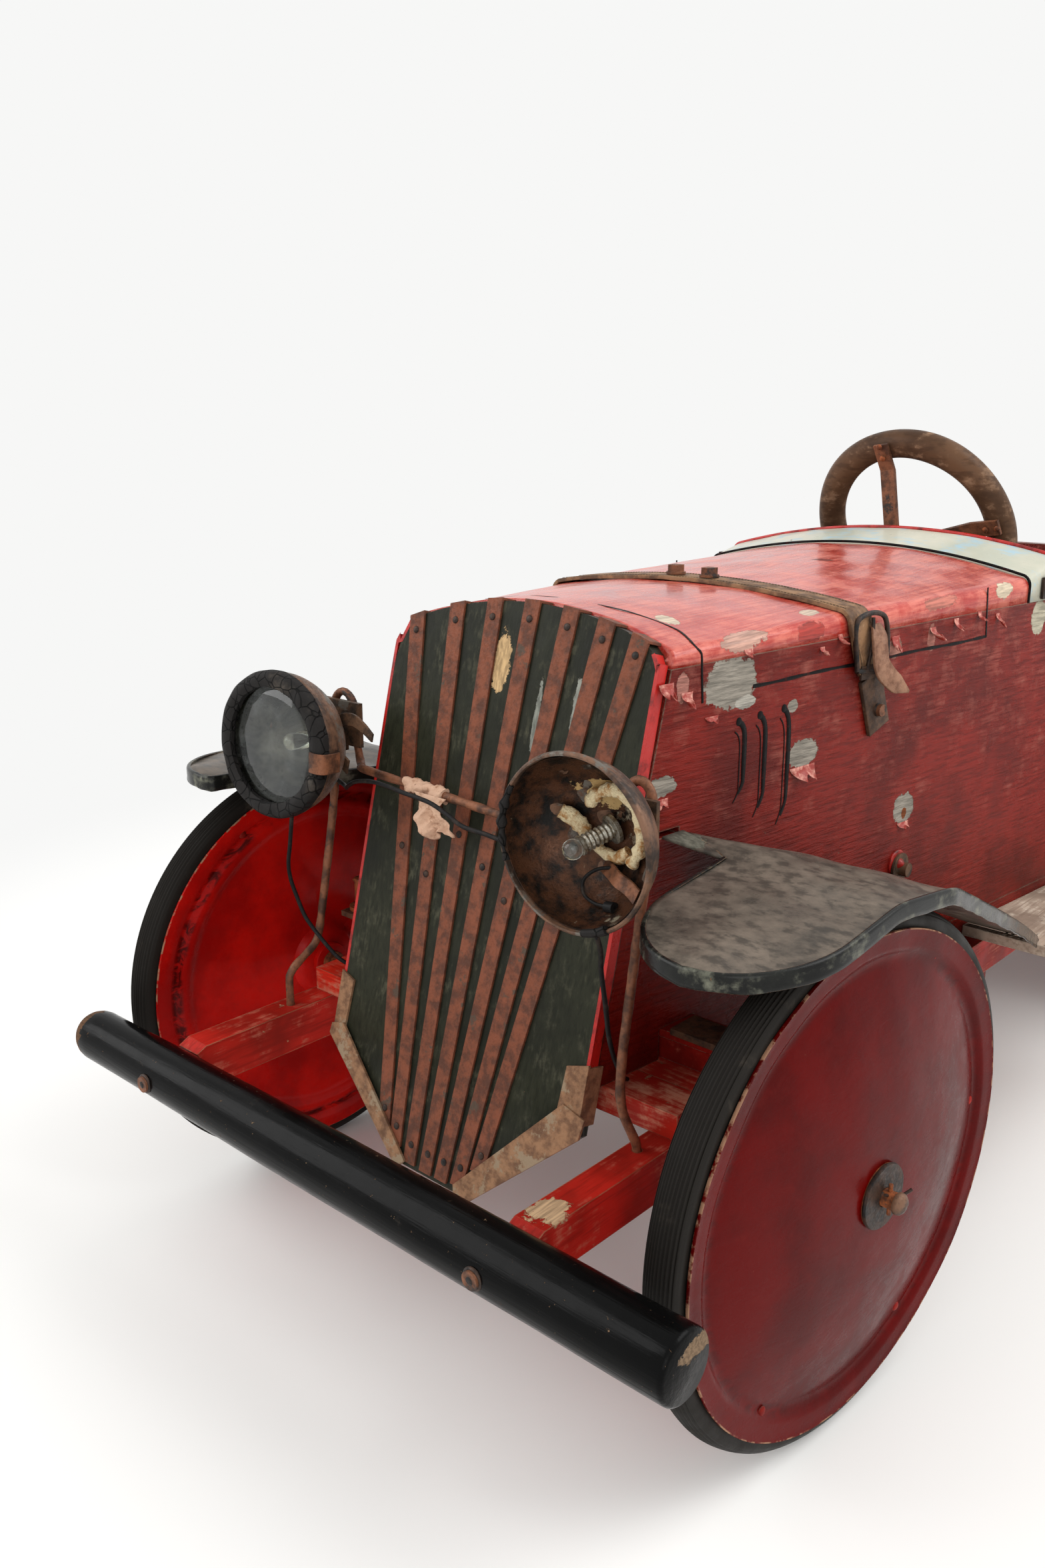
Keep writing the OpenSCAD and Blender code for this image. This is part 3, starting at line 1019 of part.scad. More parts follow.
// Half profile of the tyre: distance from its middle, radius short of the tread
tyre_profile = [[10.6, 9.4], [10.6, 6.4], [9.6, 3.9], [8, 2.3], [5.5, 1.1], [3, 0.4], [1, 0]];
tyre_gap = 0.2;
tyre_seat = wheel_w / 2 - disc_t - tyre_gap;
tyre_bore = channel_r + tyre_gap / 2;
module tyre() turned() polygon(concat(
    [[tyre_bore, -tyre_seat], [wheel_r - 9.4, -tyre_seat]],
    [for (p = tyre_profile) [wheel_r - p[1], -p[0]]],
    [for (i = [len(tyre_profile) - 1 : -1 : 0]) [wheel_r - tyre_profile[i][1], tyre_profile[i][0]]],
    [[wheel_r - 9.4, tyre_seat], [tyre_bore, tyre_seat]]));
module at_front_wheel(s) at_kingpin(s) toed(s) translate([s * (wheel_mid_x - kingpin_x), 0, wheel_r]) rotate([0, s * 90, 0]) children();
module at_rear_wheel(s) translate([s * wheel_mid_x, wheelbase, wheel_r]) rotate([0, s * 90, 0]) children();

module front_disc_right() color("#7d0f12") place() at_front_wheel(RIGHT) disc(axle_r + run_gap);
module front_disc_left() color("#7d0f12") place() at_front_wheel(LEFT) disc(axle_r + run_gap);
module front_tyre_right() color(black) place() at_front_wheel(RIGHT) tyre();
module front_tyre_left() color(black) place() at_front_wheel(LEFT) tyre();
module rear_disc_right() color("#7d0f12") place() at_rear_wheel(RIGHT) disc(axle_r);
module rear_disc_left() color("#7d0f12") place() at_rear_wheel(LEFT) disc(axle_r + run_gap);
module rear_tyre_right() color(black) place() at_rear_wheel(RIGHT) tyre();
module rear_tyre_left() color(black) place() at_rear_wheel(LEFT) tyre();

rail_right();
rail_left();
cross_planks();
axle_blocks();
cross_bearers();
bumper();
grille_board();
grille_slats();
grille_trims();
side_right();
side_left();
hood_top();
cowl_band();
dashboard();
floor_boards();
seat_board();
backrest();
rear_deck();
tail_panel();
front_guard_right();
front_guard_left();
rear_guard_right();
rear_guard_left();
running_board_right();
running_board_left();
hood_strap();
strap_buckle();
bolts_and_washers();
screen_brackets();
lamp_shell_right();
lamp_shell_left();
lamp_ring_left();
lamp_glass_left();
lamp_bulbs();
lamp_brackets();
lamp_frame_rod();
wire_lamp_to_lamp();
wire_left();
wire_right();
steering_rim();
steering_spokes();
steering_column();
steering_brackets();
stub_axle_right();
stub_axle_left();
tie_rod();
pedal_crank();
pedal_right();
pedal_left();
connecting_rod_right();
connecting_rod_left();
rear_axle();
front_disc_right();
front_tyre_right();
front_disc_left();
front_tyre_left();
rear_disc_right();
rear_tyre_right();
rear_disc_left();
rear_tyre_left();
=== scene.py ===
"""Dress of the wooden pedal car: paint, rust, rubber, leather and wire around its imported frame.

Sizes in the tables are millimetres in the maker's frame: y = 0 is the front axle, the nose points to -y,
x grows to the viewer's right and z stands on the ground. in_frame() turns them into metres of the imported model.
"""
import json
import logging
import math
from dataclasses import dataclass
from enum import Enum
from functools import cached_property
from typing import ClassVar, Iterable, Sequence

import bmesh
import bpy
import numpy as np
from mathutils import Matrix


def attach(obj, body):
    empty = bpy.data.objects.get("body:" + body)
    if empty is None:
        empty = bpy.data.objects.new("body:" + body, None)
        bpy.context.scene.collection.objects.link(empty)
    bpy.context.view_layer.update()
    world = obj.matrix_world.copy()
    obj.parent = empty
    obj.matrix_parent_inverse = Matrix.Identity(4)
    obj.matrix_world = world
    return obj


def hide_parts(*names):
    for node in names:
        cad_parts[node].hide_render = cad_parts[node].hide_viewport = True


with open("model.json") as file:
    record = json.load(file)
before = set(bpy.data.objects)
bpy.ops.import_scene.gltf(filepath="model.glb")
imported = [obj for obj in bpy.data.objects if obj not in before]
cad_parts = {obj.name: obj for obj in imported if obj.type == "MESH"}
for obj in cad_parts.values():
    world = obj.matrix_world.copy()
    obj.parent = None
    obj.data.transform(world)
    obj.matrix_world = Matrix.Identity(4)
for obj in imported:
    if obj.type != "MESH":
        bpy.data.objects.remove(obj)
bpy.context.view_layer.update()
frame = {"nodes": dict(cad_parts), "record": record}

Array = np.ndarray
Point = tuple[float, float, float]
Tone = tuple[int, int, int]
Socket = bpy.types.NodeSocket

log = logging.getLogger("pedal_car")
BODIES = {node: body for body, nodes in frame["record"]["behaviour"]["bodies"].items() for node in nodes}
MM = 0.001
SAME_POINT = 2e-6
FRONT_AXLE_Y = -401.35
AXLE_Z = 152.4
NOSE_HALF = 106.2
PARALLEL_FROM_Y = 470
GRILLE_FOOT_Y = -118.6
FLARE = math.tan(math.radians(5.07))
RAKE = math.radians(13.87)
FORWARD = (0, -1, 0)


class Side(Enum):
    """Side of the car as the viewer in front of it sees it."""
    RIGHT = 1
    LEFT = -1

    @property
    def word(self) -> str:
        """Ending of the names of this side's pieces."""
        return self.name.lower()


def in_frame(points: Array | Sequence) -> Array:
    """Maker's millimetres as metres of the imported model: shift along y, then scale.

    Args:
        points: any array whose last axis is x, y, z.
    Returns:
        A new array of the same shape in metres.
    """
    moved = np.array(points, float)
    moved[..., 1] += FRONT_AXLE_Y
    return moved * MM


def linear(tone: Tone) -> tuple[float, float, float, float]:
    """Screen tone 0 to 255 as the linear colour that a shader socket takes.

    Args:
        tone: red, green and blue as they look on a screen.
    Returns:
        Linear red, green, blue and an alpha of one.
    """
    c = np.array(tone, float) / 255
    c = np.where(c <= 0.04045, c / 12.92, ((c + 0.055) / 1.055) ** 2.4)
    return float(c[0]), float(c[1]), float(c[2]), 1.0


def darker(tone: Tone, share: float) -> Tone:
    """Tone with each channel at a share of itself."""
    return tuple(int(k * share) for k in tone)


def unit(v: Array | Sequence) -> Array:
    """Vectors made one long along their last axis."""
    v = np.array(v, float)
    return v / np.linalg.norm(v, axis=-1, keepdims=True)


SIDE_NORMAL = unit([1, -FLARE, 0])


def heading(path: Array) -> Array:
    """Unit vectors along a path, one for each of its points."""
    return unit(np.gradient(path, axis=0))


def full_turn(steps: int) -> Array:
    """Angles of equal steps round a circle, in radians."""
    return np.arange(steps) * 2 * math.pi / steps


def capped(rings: Array) -> Array:
    """Rings with the mean of the first one before them and that of the last one after them, as closed ends."""
    first, last = (np.repeat(rings[k].mean(0)[None, None], rings.shape[1], 1) for k in (0, -1))
    return np.vstack([first, rings, last])


def mirrored(points: Array, side: Side) -> Array:
    """Points drawn for the right side, moved over to a side."""
    return points * [side.value, 1, 1]


def calm_ends(count: int) -> Array:
    """Column of weights: from 0 at both ends to 1 over eight rows."""
    row = np.arange(count)
    return np.clip(np.minimum(row, count - 1 - row) / 8, 0, 1)[:, None]


def side_x(y: Array | float) -> Array | float:
    """Half width of the body at y: it grows by the flare and then stays parallel."""
    return NOSE_HALF + FLARE * np.minimum(y, PARALLEL_FROM_Y)


def on_side(y: Array | float, z: Array | float, out: Array | float, side: Side = Side.RIGHT) -> Array:
    """Points on the outer face of a body side, whose normal is (1, -flare, 0) made one long.

    Args:
        y: place along the car.
        z: height.
        out: distance from the face.
        side: which body side.
    Returns:
        Array of points.
    """
    y, z = np.broadcast_arrays(np.asarray(y, float), np.asarray(z, float))
    n = math.hypot(1, FLARE)
    return np.stack([side.value * (side_x(y) + out / n), y - out * FLARE / n, z], -1)


def on_grille(x: Array | float, h: Array | float, out: Array | float) -> Array:
    """Points of the raked grille plane: h up along the board and out in front of it."""
    x, h, out = np.broadcast_arrays(*(np.asarray(v, float) for v in (x, h, out)))
    y = GRILLE_FOOT_Y + h * math.sin(RAKE) - out * math.cos(RAKE)
    return np.stack([x, y, h * math.cos(RAKE) + out * math.sin(RAKE)], -1)


def ripple(points: Array, size: float, seed: int, waves: int = 9) -> Array:
    """Smooth random swell: the sum of sine waves with random directions and phases, over the root of their number.

    Args:
        points: places in millimetres.
        size: typical length of a wave.
        seed: makes the draw repeatable.
        waves: how many waves are added.
    Returns:
        Values of about -1 to 1, one for each point.
    """
    draw = np.random.default_rng(seed)
    way = draw.normal(size=(waves, 3))
    way *= 2 * math.pi / size * draw.uniform(0.6, 1.6, (waves, 1)) / np.linalg.norm(way, axis=1, keepdims=True)
    return np.sin(points @ way.T + draw.uniform(0, 2 * math.pi, waves)).sum(-1) / math.sqrt(waves)


def run_length(line: Array) -> Array:
    """Distance from the start of a line to each of its points."""
    return np.concatenate([[0], np.cumsum(np.linalg.norm(np.diff(line, axis=0), axis=1))])


def resampled(line: Array, count: int) -> Array:
    """A number of points at even distances along a line."""
    along = run_length(line)
    at = np.linspace(0, along[-1], count)
    return np.stack([np.interp(at, along, line[:, k]) for k in range(3)], -1)


def smooth_path(points: Sequence, step: float = 3.0) -> Array:
    """Even, rounded path through points: a Catmull-Rom curve sampled along its length.

    Args:
        points: corner points in order.
        step: distance between the samples.
    Returns:
        Array of points, the two ends kept.
    """
    p = np.array(points, float)
    p = np.vstack([2 * p[0] - p[1], p, 2 * p[-1] - p[-2]])
    t = np.linspace(0, 1, 12, endpoint=False)[:, None, None]
    a, b, c, d = p[:-3], p[1:-2], p[2:-1], p[3:]
    q = 0.5 * (2 * b + (c - a) * t + (2 * a - 5 * b + 4 * c - d) * t ** 2 + (3 * b - a - 3 * c + d) * t ** 3)
    line = np.vstack([q.transpose(1, 0, 2).reshape(-1, 3), p[-2]])
    return resampled(line, max(3, int(run_length(line)[-1] / step) + 1))


def dome(radius: float, height: float, steps: int = 6) -> list[tuple[float, float]]:
    """Profile of a button: a quarter ellipse over a flat foot, from its middle out and back."""
    a = np.linspace(math.pi / 2, 0, steps)
    return [(radius * math.cos(k), height * math.sin(k)) for k in a] + [(radius * 0.9, -0.4), (0, -0.4)]


@dataclass(frozen=True)
class Spindle:
    """Axis of a turned piece: its origin, its direction and the direction of angle zero."""
    origin: Point | Array
    axis: Point | Array
    up: Point = (0, 0, 1)

    def at(self, r: Array | float, s: Array | float, angle: Array | float) -> Array:
        """Point at radius r and distance s along the axis: origin + s axis + r (cos u + sin v).

        Args:
            r: radius.
            s: distance along the axis.
            angle: turn from up, in radians.
        Returns:
            Array of points.
        """
        w = unit(self.axis)
        u = np.array(self.up, float)
        u = unit(u - w * (u @ w))
        r, s, angle = (np.asarray(k, float)[..., None] for k in np.broadcast_arrays(r, s, angle))
        return np.array(self.origin) + s * w + r * (np.cos(angle) * u + np.sin(angle) * np.cross(w, u))


class Form:
    """A mesh in the making: grids of points in millimetres, joined by four-sided faces."""

    def __init__(self) -> None:
        """Starts with no points."""
        self.points: list[Array] = []
        self.faces: list[Array] = []
        self.traits: dict[str, list[tuple[int, Array]]] = {}
        self.count = 0

    def grid(self, points: Array, close_rows: bool = False, close_cols: bool = False, **traits: Array) -> "Form":
        """Adds a surface: neighbours in an R by C grid of points share faces.

        Args:
            points: array of R, C, 3.
            close_rows: the last row joins the first.
            close_cols: the last column joins the first.
            traits: named values for each point, R by C.
        Returns:
            This form.
        """
        rows, cols = points.shape[:2]
        index = np.arange(rows * cols).reshape(rows, cols) + self.count
        if close_rows:
            index = np.vstack([index, index[:1]])
        if close_cols:
            index = np.hstack([index, index[:, :1]])
        quads = np.stack([index[:-1, :-1], index[:-1, 1:], index[1:, 1:], index[1:, :-1]], -1)
        self.points.append(points.reshape(-1, 3))
        self.faces.append(quads.reshape(-1, 4))
        for key, value in traits.items():
            value = np.broadcast_to(value, (rows, cols)).reshape(-1)
            self.traits.setdefault(key, []).append((self.count, value))
        self.count += rows * cols
        return self

    def lathe(self, spindle: Spindle, profile: Sequence, sides: int = 96, loop: bool = False, swell: float = 0,
              size: float = 40, seed: int = 1, trait: str = "", shift: float = 0) -> "Form":
        """Turns a profile of (radius, distance along the axis) round a spindle.

        Args:
            spindle: the axis.
            profile: points of the outline.
            sides: steps round the axis.
            loop: the outline closes on itself.
            swell: how far the skin wanders along the axis.
            size: length of that wandering.
            seed: its draw.
            trait: name under which the radius is stored on the mesh.
            shift: added to the stored radius, to tell one face from another.
        Returns:
            This form.
        """
        p = np.array(profile, float)
        pts = spindle.at(p[:, :1], p[:, 1:], full_turn(sides)[None])
        if swell:
            pts = pts + (swell * ripple(pts, size, seed))[..., None] * unit(spindle.axis)
        held = {trait: p[:, :1] + shift} if trait else {}
        return self.grid(pts, close_rows=loop, close_cols=True, **held)

    def tube(self, path: Array, radius: float | Array, sides: int = 12, squash: float = 1.0) -> "Form":
        """Carries a circle along a path, closed at its ends: rings square to the path that turn as little as they can.

        Args:
            path: points of the centre line.
            radius: of each ring.
            sides: points of a ring.
            squash: share of the radius across the second direction.
        Returns:
            This form.
        """
        path = np.array(path, float)
        way = heading(path)
        lean = np.array([0, 0, 1.0]) if abs(way[0, 2]) < 0.9 else np.array([1.0, 0, 0])
        u = np.zeros_like(path)
        for i, w in enumerate(way):
            lean = u[i] = unit(lean - w * (lean @ w))
        v = np.cross(way, u)
        turn = full_turn(sides)[None, :, None]
        r = np.broadcast_to(np.asarray(radius, float), (len(path),))[:, None, None]
        return self.grid(capped(path[:, None] + r * (np.cos(turn) * u[:, None] + squash * np.sin(turn) * v[:, None])),
                         close_cols=True)

    def band(self, path: Array, across: Array, rise: Array, width: float | Array, thick: float) -> "Form":
        """Flat strip with a closed, eased section: half a width each way across, thick along rise.

        Args:
            path: middle line of the foot of the strip.
            across: unit vectors over the width.
            rise: unit vectors away from what carries it.
            width: of the strip.
            thick: of the strip.
        Returns:
            This form.
        """
        half = np.broadcast_to(np.asarray(width, float), (len(path),))[:, None] / 2
        across, rise = np.broadcast_to(across, path.shape), np.broadcast_to(rise, path.shape)
        a, b = path - across * half, path + across * half
        edge = min(thick, 0.5) * 0.4
        ring = [a, a + rise * (thick - edge), a + across * edge + rise * thick, b - across * edge + rise * thick,
                b + rise * (thick - edge), b]
        return self.grid(capped(np.stack(ring, 1)), close_cols=True)

    def piece(self, name: str, finish: "Finish", body: str = "car", replaces: Iterable[str] = (), sharp: float = 35,
              wall: float = 0.0) -> bpy.types.Object:
        """Makes the object: doubles merged, normals outward, sharp edges kept, riding on its body.

        Args:
            name: of the piece.
            finish: its material.
            body: the body it rides on.
            replaces: nodes that it stands for.
            sharp: angle over which an edge stays sharp, in degrees.
            wall: thickness given inward to an open sheet.
        Returns:
            The Blender object.
        """
        mesh = bpy.data.meshes.new(name)
        points = in_frame(np.vstack(self.points))
        mesh.from_pydata(points.tolist(), [], np.vstack(self.faces).tolist())
        for key, parts in self.traits.items():
            value = np.zeros(len(points), np.float32)
            for start, part in parts:
                value[start:start + len(part)] = part
            mesh.attributes.new(key, "FLOAT", "POINT").data.foreach_set("value", value)
        work = bmesh.new()
        work.from_mesh(mesh)
        bmesh.ops.remove_doubles(work, verts=work.verts, dist=SAME_POINT)
        bmesh.ops.recalc_face_normals(work, faces=work.faces)
        work.to_mesh(mesh)
        work.free()
        mesh.polygons.foreach_set("use_smooth", np.ones(len(mesh.polygons), bool))
        mesh.set_sharp_from_angle(angle=math.radians(sharp))
        mesh.materials.append(finish.material())
        piece = bpy.data.objects.new(name, mesh)
        bpy.context.scene.collection.objects.link(piece)
        if wall:
            solid = piece.modifiers.new("wall", "SOLIDIFY")
            solid.thickness = wall * MM
            solid.offset = -1
            solid.use_even_offset = wall > 1
        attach(piece, body)
        if replaces:
            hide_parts(*replaces)
        log.info("%s: %d faces, rides on %s", name, len(mesh.polygons), body)
        return piece


class Value:
    """Number or colour on its way through a material: each operator adds the node that does it."""

    def __init__(self, net: "Net", socket: Socket) -> None:
        """Holds a socket and the net that it belongs to."""
        self.net = net
        self.socket = socket

    def math(self, operation: str, other: "Value | float", clamp: bool = False) -> "Value":
        """One step of arithmetic with another number."""
        node = self.net.add("ShaderNodeMath", operation=operation, use_clamp=clamp)
        self.net.feed(node.inputs[0], self)
        self.net.feed(node.inputs[1], other)
        return Value(self.net, node.outputs[0])

    def __add__(self, other: "Value | float") -> "Value":
        """Sum."""
        return self.math("ADD", other)

    def __sub__(self, other: "Value | float") -> "Value":
        """Difference."""
        return self.math("SUBTRACT", other)

    def __mul__(self, other: "Value | float") -> "Value":
        """Product."""
        return self.math("MULTIPLY", other)

    def __or__(self, other: "Value | float") -> "Value":
        """The larger of the two, for masks that join."""
        return self.math("MAXIMUM", other)

    def step(self, low: float, high: float, start: float = 0.0, end: float = 1.0) -> "Value":
        """Smooth step from start to end while the value goes from low to high."""
        node = self.net.add("ShaderNodeMapRange", interpolation_type="SMOOTHSTEP", clamp=True)
        self.net.feed(node.inputs["Value"], self)
        for key, number in {"From Min": low, "From Max": high, "To Min": start, "To Max": end}.items():
            node.inputs[key].default_value = number
        return Value(self.net, node.outputs["Result"])


class Net:
    """Node tree of a material or world, with short calls for what the finishes use. Sizes are millimetres."""

    def __init__(self, owner: bpy.types.Material | bpy.types.World) -> None:
        """Takes the node tree of a new material or world."""
        owner.use_nodes = True
        self.owner = owner
        self.tree = owner.node_tree
        self.shader = self.tree.nodes.get("Principled BSDF")

    @cached_property
    def place(self) -> Value:
        """Object coordinates."""
        return Value(self, self.add("ShaderNodeTexCoord").outputs["Object"])

    def add(self, kind: str, **settings: object) -> bpy.types.Node:
        """New node of a kind, with its settings."""
        node = self.tree.nodes.new(kind)
        for key, value in settings.items():
            setattr(node, key, value)
        return node

    def feed(self, socket: Socket, value: Value | float | Sequence) -> None:
        """Links a value to a socket, or sets the socket's own number."""
        if isinstance(value, Value):
            self.tree.links.new(value.socket, socket)
        else:
            socket.default_value = value

    def mapped(self, scale: Point = (1, 1, 1), move: Point = (0, 0, 0)) -> Value:
        """Object coordinates moved and stretched."""
        node = self.add("ShaderNodeMapping")
        self.feed(node.inputs["Vector"], self.place)
        node.inputs["Location"].default_value = move
        node.inputs["Scale"].default_value = scale
        return Value(self, node.outputs[0])

    def noise(self, size: float, detail: float = 3, rough: float = 0.55, stretch: Point = (1, 1, 1),
              twist: float = 0.0, move: Point = (0, 0, 0)) -> Value:
        """Cloudy pattern, about size millimetres from one cloud to the next.

        Args:
            size: of a cloud.
            detail: octaves.
            rough: strength of the small ones.
            stretch: share of the scale along each axis; a small share draws the clouds out.
            twist: distortion.
            move: offset that picks another part of the pattern.
        Returns:
            Value of 0 to 1, with most of it near a half.
        """
        node = self.add("ShaderNodeTexNoise")
        plain = stretch == (1, 1, 1) and move == (0, 0, 0)
        self.feed(node.inputs["Vector"], self.place if plain else self.mapped(stretch, move))
        for key, value in {"Scale": 1 / (size * MM), "Detail": detail, "Roughness": rough, "Distortion": twist}.items():
            node.inputs[key].default_value = value
        return Value(self, node.outputs["Fac"])

    def cells(self, size: float) -> Value:
        """Distance to the nearest border in a pattern of cells, for cracks and grain."""
        node = self.add("ShaderNodeTexVoronoi", feature="DISTANCE_TO_EDGE")
        self.feed(node.inputs["Vector"], self.mapped())
        node.inputs["Scale"].default_value = 1 / (size * MM)
        return Value(self, node.outputs["Distance"])

    def mix(self, amount: Value, a: Value | Tone, b: Value | Tone) -> Value:
        """Blend of two colours."""
        node = self.add("ShaderNodeMix", data_type="RGBA")
        self.feed(node.inputs[0], amount)
        for socket, value in ((node.inputs[6], a), (node.inputs[7], b)):
            self.feed(socket, value if isinstance(value, Value) else linear(value))
        return Value(self, node.outputs[2])

    def axis(self, which: str) -> Value:
        """One of the object coordinates, in metres."""
        node = self.add("ShaderNodeSeparateXYZ")
        self.feed(node.inputs[0], self.place)
        return Value(self, node.outputs[which])

    def trait(self, name: str) -> Value:
        """A value stored on the mesh."""
        return Value(self, self.add("ShaderNodeAttribute", attribute_name=name).outputs["Fac"])

    def seen(self) -> Value:
        """One for camera, glossy and transmission rays, which look at the backdrop."""
        path = self.add("ShaderNodeLightPath")
        rays = [Value(self, path.outputs[f"Is {kind} Ray"]) for kind in ("Camera", "Glossy", "Transmission")]
        return rays[0] | rays[1] | rays[2]

    def bump(self, height: Value, depth: float = 1.0, normal: Value | None = None) -> Value:
        """Relief depth millimetres deep over a height of 0 to 1."""
        node = self.add("ShaderNodeBump")
        node.inputs["Strength"].default_value = 1.0
        node.inputs["Distance"].default_value = depth * MM
        self.feed(node.inputs["Height"], height)
        if normal is not None:
            self.feed(node.inputs["Normal"], normal)
        return Value(self, node.outputs[0])

    def rounded(self, radius: float) -> tuple[Value, Value]:
        """Rounded edges: the eased normal, and a mask that is one where it leaves the true normal.

        Args:
            radius: of the rounding.
        Returns:
            The normal and the mask.
        """
        eased = self.add("ShaderNodeBevel", samples=4)
        eased.inputs["Radius"].default_value = radius * MM
        true = self.add("ShaderNodeNewGeometry").outputs["Normal"]
        dot = self.add("ShaderNodeVectorMath", operation="DOT_PRODUCT")
        self.tree.links.new(eased.outputs[0], dot.inputs[0])
        self.tree.links.new(true, dot.inputs[1])
        return Value(self, eased.outputs[0]), Value(self, dot.outputs["Value"]).step(0.999, 0.86)

    def spot(self, patch: "Patch", rag: Value) -> Value:
        """Mask of one ragged patch: the scaled distance from its middle, pushed about by rag, under one."""
        scale = [1 / (k * MM) for k in patch.half]
        node = self.add("ShaderNodeVectorMath", operation="LENGTH")
        self.feed(node.inputs[0], self.mapped(tuple(scale), tuple(-in_frame(patch.centre) * np.array(scale))))
        return (Value(self, node.outputs["Value"]) + (rag - 0.5) * patch.rag).step(1.03, 0.97)

    def finish(self, colour: Value | Tone, rough: Value | float, metal: float = 0.0, normal: Value | None = None,
               coat: float = 0.0, coat_rough: float = 0.1, specular: float = 0.5) -> None:
        """Sets the shader: numbers that are even all over go straight onto its sockets."""
        put = self.shader.inputs
        self.feed(put["Base Color"], colour if isinstance(colour, Value) else linear(colour))
        self.feed(put["Roughness"], rough)
        put["Metallic"].default_value = metal
        put["Coat Weight"].default_value = coat
        put["Coat Roughness"].default_value = coat_rough
        put["Specular IOR Level"].default_value = specular
        if normal is not None:
            self.feed(put["Normal"], normal)


@dataclass(frozen=True)
class Patch:
    """One ragged patch in a finish: middle and half sizes in millimetres, raggedness, and its tone."""
    centre: Point
    half: Point
    rag: float
    tone: Tone


@dataclass(frozen=True)
class Finish:
    """What a surface is made of: a name, the record's slot and a way to build its material."""
    name: str
    slot: str

    def build(self, net: Net) -> None:
        """Fills the node tree."""
        raise NotImplementedError

    def material(self) -> bpy.types.Material:
        """The Blender material, built once."""
        found = bpy.data.materials.get(self.name)
        if found is not None:
            return found
        net = Net(bpy.data.materials.new(self.name))
        self.build(net)
        return net.owner


@dataclass(frozen=True)
class AgedPaint(Finish):
    """Old brushed paint: cloudy tones, grain, worn edges, random chips and placed patches over what is under it."""
    main: Tone
    deep: Tone
    pale: Tone
    pale_share: float
    soft: float = 0.13
    under: Tone = (150, 138, 122)
    under_deep: Tone = (104, 88, 72)
    grain: Point = (1, 0.08, 1)
    grain_size: float = 3.0
    grain_depth: float = 0.25
    grain_dark: float = 0.5
    rough: float = 0.38
    coat: float = 0.01
    shine: float = 0.08
    edge: float = 1.2
    edge_wear: float = 0.5
    wear: float = 0.25
    wear_size: float = 14.0
    patches: tuple[Patch, ...] = ()
    # highlight_up, highlight_back and highlight_shift lift the pale tone with height, towards the back and overall:
    # painted highlight, gathered where the light falls.
    highlight_up: float = 0.0
    highlight_back: float = 0.0
    highlight_shift: float = 0.0

    def build(self, net: Net) -> None:
        """Mixes tones from coarse to fine, then lets the ground show where the mask is one."""
        cloud = net.noise(22, 6, 0.68, move=(3, 1, 2))
        grain = net.noise(self.grain_size, 5, 0.6, self.grain)
        tone = net.mix(net.noise(80, 4, 0.6).step(0.34, 0.66), self.main, self.deep)
        lift = cloud + (grain - 0.5) * 0.5
        # Painted highlight: the pale tone is pushed up with height and towards the back.
        if self.highlight_shift:
            lift = lift + (net.axis("Y") * self.highlight_back + self.highlight_shift + net.axis("Z") * self.highlight_up)
        # The pale tone is bleach and dust on most finishes; on the side red it is painted glints, and on the hood red
        # it is partly painted reflection.
        level = 0.82 - 0.5 * self.pale_share
        tone = net.mix(lift.step(level - self.soft, level + self.soft), tone, self.pale)
        tone = net.mix(grain.step(0.52, 0.36) * self.grain_dark, tone, self.deep)
        normal, edges = net.rounded(self.edge)
        chips = 0.735 - 0.22 * self.wear
        rim = 0.58 - 0.3 * self.edge_wear
        bare = net.noise(self.wear_size, 6, 0.72, move=(7, 5, 1)).step(chips, chips + 0.015)
        bare = bare | (edges * net.noise(6, 5, 0.7)).step(rim, rim + 0.04)
        ground = net.mix(net.noise(2.2, 4, 0.6, self.grain).step(0.35, 0.65), self.under, self.under_deep)
        rag = net.noise(7, 6, 0.75, move=(1, 9, 4))
        for patch in self.patches:
            mask = net.spot(patch, rag)
            fibre = net.noise(1.8, 4, 0.6, self.grain).step(0.3, 0.7)
            ground = net.mix(mask, ground, net.mix(fibre, patch.tone, darker(patch.tone, 0.72)))
            bare = bare | mask
        gloss = (bare * (0.85 - self.rough)).math(
            "ADD", cloud.step(0.3, 0.7, self.rough - 0.08, self.rough + 0.12), clamp=True)
        height = grain * self.grain_depth - bare * 0.25
        net.finish(net.mix(bare, tone, ground), gloss, 0.0, net.bump(height, 1.0, normal), self.coat, 0.12, self.shine)


